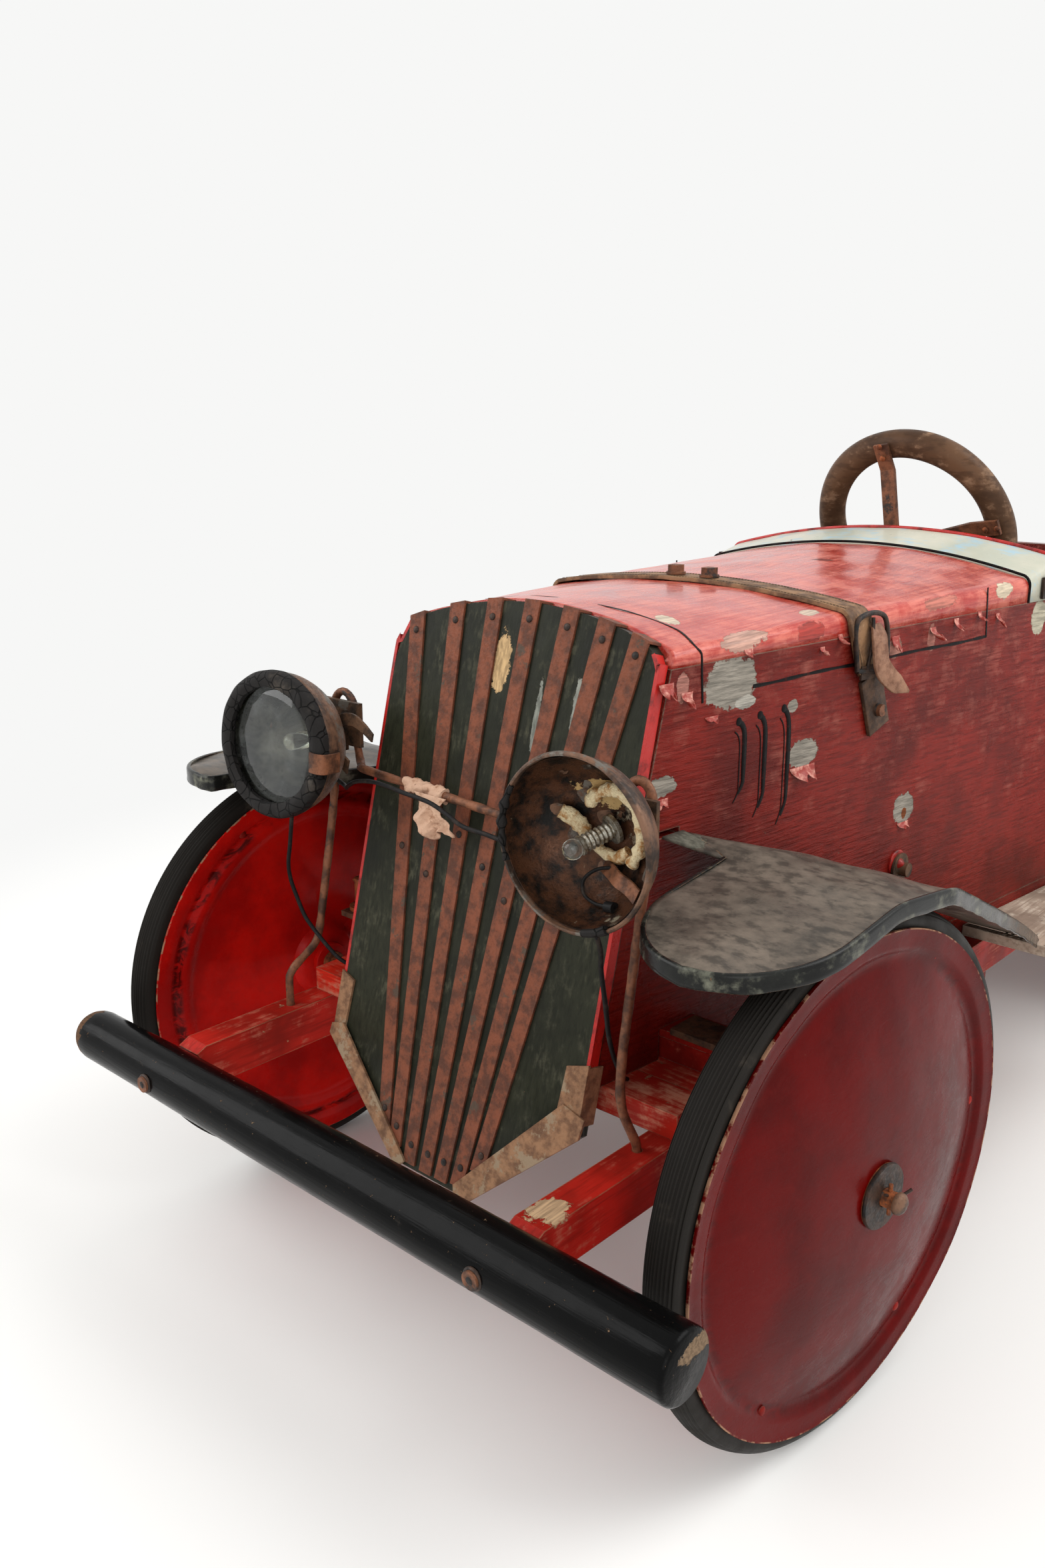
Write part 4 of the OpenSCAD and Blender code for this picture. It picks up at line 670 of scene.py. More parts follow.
@dataclass(frozen=True)
class DiscPaint(Finish):
    """Brushed gloss on a pressed wheel: streaks, scuffs, painted shade in the groove, and a raw line on the flange."""
    main: Tone = (88, 2, 1)
    deep: Tone = (70, 4, 3)
    pale: Tone = (106, 24, 19)
    raw: Tone = (150, 112, 88)
    fresh: Tone = (196, 20, 13)
    fresh_deep: Tone = (150, 13, 10)

    def build(self, net: Net) -> None:
        """Tones follow object coordinates; flange and groove follow the stored radius, INNER_FACE more inside."""
        stored = net.trait("ring")
        inner = stored.step(400, 401)
        ring = stored - inner * INNER_FACE
        cloud = net.noise(60, 5, 0.6)
        brush = net.noise(7, 5, 0.65, (1, 0.25, 0.7), 1.5)
        tone = net.mix(cloud.step(0.36, 0.66), self.main, self.deep)
        tone = net.mix(inner, tone, net.mix(cloud.step(0.36, 0.66), self.fresh, self.fresh_deep))
        scuff = net.noise(16, 7, 0.74, move=(2, 2, 8))
        tone = net.mix(scuff.step(0.5, 0.8) * 0.4, tone, self.pale)
        # Painted shade: the groove is darkened with the deep tone, where shade falls in the recess.
        groove_shade = ring.step(120, 124) * ring.step(131, 127)
        tone = net.mix(groove_shade * brush.step(0.4, 0.6), tone, self.deep)
        lip = ring.step(140.9, 141.5) * net.noise(9, 4, 0.7).step(0.46, 0.58)
        worn = net.noise(3.2, 5, 0.7, move=(5, 1, 1)).step(0.73, 0.75) * 0.7 | lip
        rough = scuff.step(0.3, 0.75, 0.2, 0.42).math("ADD", worn * 0.4, clamp=True)
        net.finish(net.mix(worn, tone, self.raw), rough, 0.0, net.bump(brush * 0.22 + cloud * 0.5), 0.08, 0.12, 0.05)


@dataclass(frozen=True)
class RustyIron(Finish):
    """Bare iron gone brown: bright and dark rust clouds, pits, and traces of what once covered it."""
    bright: Tone
    dark: Tone
    trace: Tone
    trace_share: float = 0.2
    rough: float = 0.72
    metal: float = 0.15
    size: float = 9.0
    relief: float = 0.35
    patches: tuple[Patch, ...] = ()

    def build(self, net: Net) -> None:
        """Two clouds choose between bright and dark rust; a third lays the traces over it."""
        cloud = net.noise(self.size, 6, 0.66)
        fine = net.noise(1.7, 4, 0.6)
        tone = net.mix(cloud.step(0.36, 0.62), self.dark, self.bright)
        tone = net.mix(fine.step(0.55, 0.75, 0, 0.6), tone, self.dark)
        level = 0.72 - 0.4 * self.trace_share
        colour = net.mix(net.noise(self.size * 2.2, 6, 0.7, move=(4, 4, 1)).step(level, level + 0.06), tone, self.trace)
        rag = net.noise(7, 4, 0.65, move=(1, 9, 4))
        for patch in self.patches:
            colour = net.mix(net.spot(patch, rag), colour, patch.tone)
        height = cloud * self.relief + fine * (self.relief * 0.6)
        net.finish(colour, fine.step(0.3, 0.7, self.rough - 0.12, self.rough + 0.12), self.metal,
                   net.bump(height, 1.0, net.rounded(0.5)[0]), specular=0.3)


@dataclass(frozen=True)
class Rubber(Finish):
    """Old rubber: black with grey dust in its scratches and fine cracks."""
    main: Tone
    dust: Tone
    dust_share: float
    crack: float = 0.0
    rough: float = 0.5

    def build(self, net: Net) -> None:
        """Dust lies where a fine and a broad cloud meet; cracks are the borders of cells."""
        broad = net.noise(30, 5, 0.65)
        fine = net.noise(2.4, 5, 0.7)
        level = 0.7 - 0.35 * self.dust_share
        dusty = broad.step(level, level + 0.25) * 0.8 | fine.step(0.62, 0.8, 0, self.dust_share)
        colour = net.mix(dusty, self.main, self.dust)
        height = fine * 0.14
        if self.crack:
            lines = net.cells(8.0).step(0.0, 0.07)
            colour = net.mix(lines, darker(self.main, 0.35), colour)
            height = height + lines * self.crack
        net.finish(colour, broad.step(0.3, 0.7, self.rough - 0.1, self.rough + 0.14), 0.0, net.bump(height),
                   specular=0.1)


@dataclass(frozen=True)
class Leather(Finish):
    """Worn strap leather: fine grain, creases and darker greasy patches."""
    main: Tone
    dark: Tone
    pale: Tone

    def build(self, net: Net) -> None:
        """Cells give the grain, two clouds the stains and the rubbed tone."""
        stain = net.noise(14, 5, 0.65)
        rub = net.noise(6, 5, 0.7, move=(2, 5, 5))
        tone = net.mix(stain.step(0.4, 0.62), self.main, self.dark)
        tone = net.mix(rub.step(0.6, 0.75, 0, 0.7), tone, self.pale)
        normal, edges = net.rounded(0.8)
        tone = net.mix(edges * 0.7, tone, self.dark)
        height = net.cells(1.1).step(0.0, 0.25) * 0.08 + stain * 0.2
        net.finish(tone, rub.step(0.3, 0.7, 0.45, 0.7), 0.0, net.bump(height, 1.0, normal), specular=0.3)


@dataclass(frozen=True)
class Plain(Finish):
    """Small part with one tone, its grime and a fine relief: wire, tin, putty, paper, painted lines."""
    main: Tone
    grime: Tone
    grime_share: float = 0.4
    rough: float = 0.5
    metal: float = 0.0
    size: float = 6.0
    relief: float = 0.12
    shine: float = 0.35

    def build(self, net: Net) -> None:
        """One cloud mixes the two tones, a finer one gives the relief."""
        cloud = net.noise(self.size, 6, 0.68)
        level = 0.72 - 0.4 * self.grime_share
        colour = net.mix(cloud.step(level - 0.1, level + 0.12), self.main, self.grime)
        net.finish(colour, cloud.step(0.3, 0.7, self.rough - 0.1, self.rough + 0.15), self.metal,
                   net.bump(cloud + net.noise(self.size / 5, 4, 0.6), self.relief), specular=self.shine)


@dataclass(frozen=True)
class DustyGlass(Finish):
    """Clear glass with a film of dust on it."""
    tint: Tone
    film: float
    rough: float

    def build(self, net: Net) -> None:
        """A cloud thins the transmission where the dust lies."""
        cloud = net.noise(16, 6, 0.7)
        net.finish(net.mix(cloud.step(0.5, 0.75, 0, self.film), self.tint, (148, 142, 132)),
                   cloud.step(0.35, 0.8, self.rough, self.rough + 0.08))
        net.feed(net.shader.inputs["Transmission Weight"], cloud.step(0.45, 0.85, 1.0, 1.0 - self.film * 1.6))
        net.shader.inputs["IOR"].default_value = 1.45


WOOD_GREY: Tone = (158, 150, 138)
INNER_FACE = 1000


def chip(y: float, z: float, dy: float, dz: float, tone: Tone = WOOD_GREY, side: int = 1) -> Patch:
    """Patch on a body side, given by its place along the car and its height."""
    return Patch((side * float(side_x(y)), y, z), (7, dy, dz), 1.0, tone)


# Side red: its pale tone (150, 84, 72), gathered upward and towards the back, is painted glints of light on the raised
# grain; the chips and patches are real wear.
SIDE_RED = AgedPaint(
    "side_red", "red_wood", (124, 29, 20), (84, 18, 12), (150, 84, 72), 0.17, 0.22, grain=(1, 0.045, 1),
    grain_size=2.4, grain_depth=1.2, grain_dark=0.6, rough=0.24, coat=0.015, shine=0.1, edge=1.6, edge_wear=0.8,
    wear=0.15, wear_size=11, highlight_back=0.12, highlight_up=0.8, highlight_shift=-0.22, patches=(
        chip(46, 401, 25, 15), chip(118, 347, 17, 9), chip(240, 287, 13, 11), chip(-12, 350, 13, 6),
        chip(106, 379, 5, 4), chip(407, 403, 11, 13, (190, 182, 160)), chip(4, 404, 5, 9, (176, 120, 108)),
        chip(214, 402, 8, 7, (170, 120, 106)), chip(258, 404, 5, 9, (168, 110, 98)),
        chip(241, 283, 3, 4, (128, 70, 40)), chip(60, 388, 9, 4, (186, 180, 168)),
        chip(118, 401, 28, 13, side=-1), chip(250, 330, 22, 12, side=-1), chip(30, 300, 15, 10, side=-1)))
# Hood red: the top is a lit copy of the side's red paint, and its salmon pale tone over half of it is painted
# reflection of the light above; its grain, chips and patches are real wear.
HOOD_RED = AgedPaint(
    "hood_red", "bleached_red_wood", (182, 44, 33), (154, 30, 23), (214, 116, 98), 0.56, 0.24, grain=(1, 0.04, 1),
    grain_size=2.2, grain_depth=0.5, grain_dark=0.35, rough=0.24, coat=0.3, shine=0.3, edge=1.0, edge_wear=0.3,
    wear=0.05, wear_size=20, patches=(
        Patch((72, 34, 435), (9, 7, 4), 1.4, (216, 196, 172)), Patch((20, 297, 445), (9, 5, 4), 1.4, (120, 44, 38)),
        Patch((104, 138, 430), (5, 9, 6), 1.3, (206, 182, 160)),
        Patch((108, 60, 424), (6, 22, 7), 1.6, (206, 160, 142)), Patch((117, 120, 423), (5, 14, 6), 1.6, (180, 60, 50)),
        Patch((132, 262, 428), (6, 26, 6), 1.6, (200, 120, 104)),
        Patch((137, 352, 428), (6, 12, 6), 1.4, (222, 204, 176)),
        Patch((-60, 90, 434), (14, 20, 6), 1.6, (224, 150, 134)), Patch((-118, 200, 428), (7, 30, 7), 1.5, WOOD_GREY)))
DEEP_RED = AgedPaint("deep_red", "red_wood", (150, 30, 22), (100, 20, 15), (168, 86, 70), 0.25, grain=(1, 0.06, 1),
                     edge_wear=0.7, rough=0.36)
# Cross planks: the bright main tone is painted light, raised so the planks look lit though they stand in the car's
# shade; the pale brown tone is dust.
CROSS_RED = AgedPaint(
    "cross_red", "red_wood", (206, 44, 27), (146, 32, 22), (184, 122, 98), 0.52, grain=(0.07, 1, 1),
    under=(150, 104, 80), under_deep=(92, 54, 40), edge_wear=0.9, wear=0.45, rough=0.42)
RAIL_RED = AgedPaint(
    "rail_red", "red_wood", (186, 38, 28), (122, 26, 18), (178, 104, 84), 0.34, grain=(1, 0.07, 1),
    under=(186, 140, 108), under_deep=(132, 80, 58), edge_wear=1.0, wear=0.32, rough=0.4, patches=(
        Patch((143, -146, 165), (10, 12, 3), 2.2, (206, 172, 134)),
        Patch((143, -164, 158), (7, 5, 6), 1.2, (196, 158, 122))))
CREAM = AgedPaint(
    "cowl_cream", "cream_paint", (202, 196, 178), (176, 178, 162), (158, 186, 198), 0.42, under=(122, 100, 78),
    under_deep=(84, 64, 50), grain=(0.1, 1, 1), grain_depth=0.15, grain_dark=0.2, edge_wear=0.7, wear=0.2,
    rough=0.34, coat=0.2)
BOARD_GREEN = AgedPaint(
    "grille_green", "green_black_board", (44, 45, 34), (28, 29, 22), (84, 82, 66), 0.26, 0.18, shine=0.1,
    grain=(1, 1, 0.1), grain_size=2.4, under=(150, 118, 88), under_deep=(98, 70, 52), edge_wear=0.25, wear=0.1,
    rough=0.36, patches=(
        Patch(tuple(on_grille(-10, 420, 0)), (7, 8, 21), 1.8, (206, 172, 126)),
        Patch(tuple(on_grille(52, 398, 0)), (2.5, 8, 22), 1.8, (150, 152, 142)),
        Patch(tuple(on_grille(24, 390, 0)), (2, 8, 26), 1.8, (140, 142, 132))))
POLE_BLACK = AgedPaint(
    "pole_black", "black_pole", (11, 11, 11), (6, 6, 6), (62, 56, 50), 0.06, under=(132, 108, 82),
    under_deep=(84, 62, 46), grain=(0.05, 1, 1), grain_size=4, grain_depth=0.35, grain_dark=0.2, rough=0.16, coat=0.03,
    shine=0.07, edge=1.4, edge_wear=0.6, wear=0.34, wear_size=3, patches=(
        Patch((-231, -182, 150), (9, 22, 22), 1.6, (104, 76, 56)),
        Patch((253, -176, 164), (4, 11, 5), 2.4, (128, 106, 84))))
GUARD_BLACK = AgedPaint(
    "guard_black", "black_sheet", (84, 76, 68), (56, 52, 47), (120, 108, 96), 0.5, 0.3, shine=0.12,
    under=(150, 132, 108), under_deep=(96, 66, 46), grain=(0.45, 0.7, 1), grain_size=5, grain_depth=0.2, grain_dark=0.6,
    rough=0.34, edge=0.8, edge_wear=0.55, wear=0.16, wear_size=5, patches=(
        Patch((116, -3, 320), (13, 12, 8), 1.4, (112, 110, 98)),
        Patch((232, 110, 280), (9, 6, 8), 1.5, (150, 106, 70))))
LIP_BLACK = AgedPaint(
    "lip_black", "black_sheet", (30, 31, 28), (14, 14, 13), (108, 108, 94), 0.36, under=(140, 118, 92),
    under_deep=(96, 60, 40), grain_size=6, grain_depth=0.12, rough=0.24, coat=0.03, shine=0.2, edge=0.8, wear=0.22,
    wear_size=7)
DECK_RED = AgedPaint(
    "deck_red", "bleached_red_wood", (150, 36, 26), (116, 26, 19), (168, 70, 56), 0.36, 0.3, grain=(1, 0.04, 1),
    grain_size=2.4, grain_depth=0.5, rough=0.32, coat=0.1, edge_wear=0.7, wear=0.14)
STEP_GREY = AgedPaint(
    "step_grey", "grey_board", (184, 164, 146), (128, 110, 96), (208, 194, 176), 0.4, under=(206, 198, 184),
    under_deep=(150, 134, 118), grain=(1, 0.06, 1), grain_depth=0.5, rough=0.7, coat=0.0, edge_wear=0.8, wear=0.3)
BARE_BOARD = AgedPaint("bare_board", "bare_wood", (128, 84, 62), (92, 56, 42), (158, 118, 90), 0.35,
                       under=(150, 122, 98), grain=(1, 0.06, 1), rough=0.6, coat=0.0, wear=0.2)
RIM_WOOD = AgedPaint(
    "rim_brown", "rim_wood", (98, 72, 53), (60, 43, 32), (146, 116, 92), 0.34, under=(152, 118, 88),
    under_deep=(104, 76, 54), grain=(0.4, 0.4, 1), grain_size=5, edge_wear=0.2, wear=0.2, rough=0.4)
LINE_BLACK = Plain("line_black", "black_iron", (14, 12, 12), (78, 28, 24), 0.2, 0.35, shine=0.08)
BOLT_RED = Plain("bolt_red", "red_wood", (156, 30, 24), (92, 26, 20), rough=0.35, size=5)
LINE_RED = Plain("edge_red", "red_wood", (180, 30, 24), (110, 22, 18), rough=0.35, size=14)
PEEL = Plain("peeled_paint", "bleached_red_wood", (150, 50, 40), (208, 146, 130), 0.45, 0.45, size=5)
SLAT_RUST = RustyIron("slat_rust", "rusty_iron", (124, 68, 45), (84, 49, 35), (78, 62, 50), 0.3, 0.62, 0.1)
TRIM_RUST = RustyIron("trim_rust", "rusty_iron", (150, 112, 82), (104, 74, 54), (146, 126, 102), 0.45)
DARK_IRON = RustyIron("dark_iron", "dark_steel", (104, 76, 56), (52, 42, 35), (96, 90, 82), 0.3, 0.55, 0.35)
ROD_IRON = RustyIron("rod_iron", "rusty_iron", (132, 84, 58), (70, 46, 34), (54, 46, 42), 0.35, 0.55, 0.2, 14)
LAMP_BROWN = RustyIron(
    "lamp_brown", "lamp_black", (118, 86, 66), (52, 42, 36), (104, 98, 90), 0.45, 0.5, 0.25, 16, 0.25)
BOWL_INSIDE = RustyIron(
    "bowl_inside", "lamp_black", (88, 56, 38), (26, 24, 22), (160, 148, 126), 0.26, 0.36, 0.5, 13, 0.3,
    (Patch((112, -84, 360), (16, 30, 9), 1.6, (196, 164, 112)),))
BOWL_SILVER = RustyIron(
    "bowl_silver", "lamp_black", (88, 84, 74), (30, 29, 27), (150, 144, 130), 0.3, 0.35, 0.6, 18, 0.15)
SHAFT_RUST = RustyIron("shaft_rust", "dark_steel", (156, 86, 48), (84, 50, 33), (60, 60, 58), 0.25, 0.6, 0.2, 5)
WASHER_BLACK = RustyIron("washer_black", "black_iron", (62, 44, 34), (22, 20, 19), (96, 90, 82), 0.2, 0.5, 0.1, 7)
DISC_RED = DiscPaint("disc_red", "wheel_red")
TYRE = Rubber("tyre_rubber", "tyre", (32, 29, 26), (80, 72, 63), 0.35)
RING_RUBBER = Rubber("ring_rubber", "rubber", (34, 32, 31), (92, 84, 76), 0.4, 0.5, 0.55)
STRAP = Leather("strap_leather", "leather", (142, 106, 74), (84, 58, 38), (188, 156, 122))
STRAP_DARK = Leather("tab_leather", "leather", (92, 66, 48), (54, 38, 28), (128, 98, 72))
STRAP_TONGUE = Leather("tongue_leather", "leather", (150, 110, 86), (108, 70, 50), (196, 160, 134))
THREAD = Plain("strap_thread", "leather", (92, 72, 50), (60, 44, 30), rough=0.7, size=2)
WIRE = Plain("wire_black", "wire", (26, 25, 25), (58, 50, 44), 0.3, 0.45, size=9, shine=0.12)
TIN = Plain("socket_tin", "bulb", (176, 172, 160), (112, 96, 74), 0.5, 0.34, 0.8, 3)
PUTTY = Plain("cream_putty", "bulb", (226, 208, 168), (168, 116, 60), 0.5, 0.7, relief=1.2)
PAPER = Plain("brown_paper", "bare_wood", (204, 166, 140), (142, 98, 70), 0.35, 0.8, size=8, relief=0.5)
GLASS = DustyGlass("lamp_glass", "lens", (236, 240, 238), 0.04, 0.02)
GLOBE = DustyGlass("bulb_glass", "bulb", (224, 226, 216), 0.1, 0.03)


class Assembly:
    """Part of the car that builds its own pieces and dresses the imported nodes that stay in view."""
    DRESSED: ClassVar[tuple[tuple[Finish, str], ...]] = ()

    def build(self) -> None:
        """Makes the pieces."""
        raise NotImplementedError

    def dress(self) -> None:
        """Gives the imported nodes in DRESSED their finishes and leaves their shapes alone."""
        for finish, nodes in self.DRESSED:
            for node in nodes.split():
                item = frame["nodes"][node]
                if not item.material_slots:
                    item.data.materials.append(finish.material())
                for place in item.material_slots:
                    place.material = finish.material()
                log.info("%s: dressed as %s", node, finish.name)


def guard_sheet(inner: Array, outer: Array, count: int, crown: float, swell: float, size: float, seed: int,
                drop: float) -> Array:
    """Sheet between two edge lines: half a sine wave across it and a random swell, both fading at its ends.

    Args:
        inner: edge on the body's side.
        outer: edge on the wheel's side.
        count: points across.
        crown: height of the sine wave.
        swell: height of the random swell.
        size: length of that swell.
        seed: its draw.
        drop: how far the whole sheet is let down.
    Returns:
        Grid of points, rows along the lines.
    """
    v = np.linspace(0, 1, count)[None, :, None]
    pts = inner[:, None] + (outer - inner)[:, None] * v
    pts[..., 2] += (crown * np.sin(math.pi * v[..., 0]) + swell * ripple(pts, size, seed)) * calm_ends(len(pts)) - drop
    return pts


@dataclass
class CarBody(Assembly):
    """Hood and cowl, the painted lines and what peels off the sides; it dresses the woodwork."""
    DRESSED = (
        (SIDE_RED, "side_right side_left tail_panel backrest dashboard"), (DECK_RED, "rear_deck"),
        (BARE_BOARD, "seat_board floor_boards"), (DEEP_RED, "cross_bearers axle_blocks"), (CROSS_RED, "cross_planks"),
        (RAIL_RED, "rail_right rail_left"), (WASHER_BLACK, "screen_brackets"),
        (STEP_GREY, "running_board_right running_board_left"))
    hood: tuple = ((-12, 425.5, 17.5, 0.01), (168, 430.5, 9, 0.0), (387, 433, 17, 0.01))
    cowl: tuple = ((387, 434, 17, 0.01), (428, 443.5, 17, 0.03))
    front_y: float = -5.7
    joint_y: float = 387
    corner: float = 8.0
    foot_z: float = 415.5
    paint: float = 0.22
    roots: tuple = ((-9, 408, 12, 9), (8, 401, 10, 10), (118, 339, 26, 9), (213, 410, 9, 10), (258, 411, 7, 12),
                    (288, 414, 6, 9), (319, 416, 5, 8), (345, 412, 6, 10), (240, 277, 14, 5), (150, 418, 5, 8),
                    (132, 412, 5, 7), (60, 419, 8, 5), (-12, 343, 14, 5), (30, 384, 12, 4))

    def section(self, y: Array | float, table: tuple) -> list[Array]:
        """Half width, edge height, rise and lean at y, straight between the table's rows."""
        rows = np.array(table, float)
        y = np.asarray(y, float)
        return [side_x(y)] + [np.interp(y, rows[:, 0], rows[:, k]) for k in (1, 2, 3)]

    def arch(self, y: Array, table: tuple, grow: float = 0.0, foot: float | None = None) -> Array:
        """Arched outer skin: upright foot, quarter-round corner, and a crown that falls with the square of x.

        Args:
            y: places along the car, one for each row.
            table: sections to go between.
            grow: distance outward.
            foot: height of the two feet.
        Returns:
            Grid of points, rows along the car.
        """
        half, edge, rise, lean = (k[:, None] for k in self.section(y, table))
        half, edge, c = half + grow, edge + grow, self.corner + grow
        a = np.radians(np.linspace(0, 66, 9))[None]
        u = np.linspace(0.985, -0.985, 49)[None]
        low = np.full_like(half, self.foot_z if foot is None else foot)
        x = np.hstack([half, half - c + c * np.cos(a), (half - 0.7 * c) * u, -half + c - c * np.cos(a[:, ::-1]), -half])
        top = edge - 0.5 + (rise + 0.5) * (1 - u ** 2)
        z = np.hstack([edge - c + c * np.sin(a), top, edge - c + c * np.sin(a[:, ::-1])]) + lean * x[:, 1:-1]
        return np.stack([x, np.broadcast_to(y[:, None], x.shape), np.hstack([low, z, low])], -1)

    def skin(self, x: float, y: float) -> tuple[Array, Array]:
        """Point and normal of the hood's top at x, y."""
        half, edge, rise, lean = (float(k) for k in self.section(y, self.hood))
        c = self.corner
        flat = half - 0.7 * c
        if abs(x) > flat:
            a = math.acos(min(1.0, (abs(x) - half + c) / c))
            out = math.copysign(1, x)
            return (np.array([out * (half - c + c * math.cos(a)), y, edge - c + c * math.sin(a) + lean * x]),
                    np.array([out * math.cos(a), 0, math.sin(a)]))
        u = x / flat
        slope = -2 * (rise + 0.5) * u / flat + lean
        return np.array([x, y, edge - 0.5 + (rise + 0.5) * (1 - u * u) + lean * x]), unit([-slope, 0, 1])

    def dented(self, pts: Array, depth: float, size: float, seed: int) -> Array:
        """Skin with a random swell everywhere but on its feet."""
        pts[..., 2] += depth * ripple(pts, size, seed) * (pts[..., 2] > self.foot_z + 1)
        return pts

    def build(self) -> None:
        """Hood, whose front leans with the grille, cowl with its two edges, lines and flakes."""
        y = np.linspace(self.front_y, self.joint_y, 120)
        pts = self.arch(y, self.hood)
        near = np.clip(1 - (y - self.front_y) / 60, 0, 1)[:, None]
        pts[..., 1] += (pts[..., 2] - self.foot_z) * math.tan(RAKE) * near
        Form().grid(self.dented(pts, 0.35, 70, 3)).piece("hood", HOOD_RED, replaces=["hood_top"], wall=8)
        pts = self.arch(np.linspace(self.joint_y + 0.3, 428, 16), self.cowl, 0.6)
        Form().grid(self.dented(pts, 0.25, 40, 4)).piece("cowl", CREAM, replaces=["cowl_band"], wall=5)
        for name, finish, y, grow, radius in (("cowl_edge", LINE_RED, 427.0, 0.9, 1.5),
                                              ("cowl_line", LINE_BLACK, 388.2, 0.2, 1.1)):
            Form().tube(self.arch(np.array([y]), self.cowl, grow)[0], radius, 8).piece(name, finish)
        self.lines()
        self.flakes()
        self.bolt()

    def line(self, form: Form, path: Array, rise: Array, width: float | Array) -> None:
        """Painted stroke: a strip a fifth of a millimetre proud, square to its carrier."""
        form.band(path, unit(np.cross(heading(path), rise)), rise, width, self.paint)

    def lines(self) -> None:
        """Thin line round the hood's front and along both sides, and three louvre strokes with their dots."""
        form = Form()
        over = [self.skin(x, y)[0] for x, y in (
            (-60, 20), (-30, 20), (0, 21), (41.6, 22.4), (63.7, 24.4), (85.5, 25), (98, 20), (103, 17), (106.5, 17.5),
            (107.7, 19))]
        down = [on_side(19 + 2 * k / 4, 417 - 24 * k / 4, 0.1) for k in range(1, 5)]
        path = smooth_path(np.vstack([over, down]), 2.0)
        lift = np.array([self.skin(p[0], p[1])[1] if p[2] > 419 else SIDE_NORMAL for p in path])
        self.line(form, path, lift, 1.7)
        for side in Side:
            normal = mirrored(SIDE_NORMAL, side)
            y = np.linspace(66, 331, 90)
            path = on_side(y, 396.7 + 0.35 * np.sin(y / 17), 0.05, side)
            self.line(form, path, normal, 2.0 + 0.4 * np.sin(y / 5))
            z = np.linspace(396, 432, 14)
            self.line(form, on_side(331 - (z - 396) * 0.11, z, 0.05, side), normal, 1.9)
            for y, top, low in ((53.9, 376.6, 333.3), (73.6, 377.6, 320.7), (96.7, 378.2, 311.1)):
                t = np.linspace(0, 1, 26)
                z = top + (low - top) * t
                bow = y + 1.2 + 5.4 * (1 - np.exp(-t / 0.07)) - 4.5 * np.clip((t - 0.84) / 0.16, 0, 1) ** 1.5
                self.line(form, on_side(bow, z, 0.05, side), normal, 4.3 - 5.0 * (t - 0.35) ** 2)
                self.line(form, on_side(bow - 4.2, z - 5, 0.05, side), normal, 1.0)
                form.lathe(Spindle(on_side(y + 0.5, top + 0.5, 0, side), normal),
                           [(0, 0.3), (2.1, 0.3), (2.6, 0.1), (2.6, -0.2), (0, -0.2)], 20)
        form.piece("painted_lines", LINE_BLACK, sharp=60)

    def flakes(self) -> None:
        """Curled flakes: each leaves its root and bends outward along a circle."""
        form = Form()
        draw = np.random.default_rng(11)
        s, w = np.linspace(0, 1, 8)[:, None], np.linspace(-0.5, 0.5, 7)[None]
        for k, (y, z, width, length) in enumerate(self.roots):
            curl = draw.uniform(1.1, 2.0)
            taper = 1 - 0.55 * s ** 1.5 + 0.12 * np.sin(w * 9 + k)
            reach = length * (1 + 0.3 * np.sin(w * 7 + 2 * k))
            out = 0.25 + reach * (1 - np.cos(curl * s)) / curl
            drop = reach * np.sin(curl * s) / curl
            across = w * width * taper + draw.uniform(-0.3, 0.3) * drop
            form.grid(on_side(y + across, z - drop, 0) + out[..., None] * SIDE_NORMAL)
        form.piece("peeled_flakes", PEEL, wall=0.3, sharp=70)

    def bolt(self) -> None:
        """Painted washer and bolt head low on the right side."""
        form = Form()
        for profile in ([(0, 1.6), (9.0, 1.6), (9.6, 1.0), (9.6, -0.3), (0, -0.3)], dome(4.6, 6.5)):
            form.lathe(Spindle(on_side(235.9, 248.0, 0), SIDE_NORMAL), profile, 28, swell=0.2, size=6)
        form.piece("side_bolt", BOLT_RED)


@dataclass
class Grille(Assembly):
    """Raked board with seven folded iron straps, their nails and the painted edge."""
    DRESSED = ((BOARD_GREEN, "grille_board"), (SLAT_RUST, "grille_slats"), (TRIM_RUST, "grille_trims"))
    heads: tuple = (-87, -53, -22, 8, 38, 65, 90)
    feet: tuple = ((-45, 118), (-33, 110), (-18.5, 103), (-4, 102.5), (9.5, 103), (23, 105), (37, 119))
    edges: tuple = (((103.5, 172), (103.5, 411), (103.4, 428), (99, 437)),
                    ((-103.5, 166), (-103.5, 404), (-100, 420), (-93, 436)))

    def crown(self, x: float) -> float:
        """Height of the board's upper edge at x."""
        return 456.5 - 0.0019 * (x - 8) ** 2

    def build(self) -> None:
        """Three nails in each strap and red paint on the board's edges."""
        face = on_grille(0, 0, 1) - on_grille(0, 0, 0)
        nails = Form()
        for k, (x, (foot_x, foot_h)) in enumerate(zip(self.heads, self.feet)):
            top = self.crown(x)
            for share in (0.028, 0.45 + 0.05 * math.sin(k * 2.1), 0.965):
                at = on_grille(x + (foot_x - x) * share, top + (foot_h - top) * share, 1.7)
                nails.lathe(Spindle(at, face), dome(2.3, 1.1, 5), 16)
        nails.piece("strap_nails", WASHER_BLACK)
        paint = Form()
        for outline in self.edges:
            path = smooth_path([on_grille(x, h, -4.6) for x, h in outline], 5)
            across = unit(np.cross(heading(path), face))
            paint.band(path, face, across * np.sign(across[0, 0] * outline[0][0]), 8.4, 0.25)
            paint.band(path + face * 4.55, across, face, 2.4, 0.2)
        paint.piece("grille_edge_paint", LINE_RED)


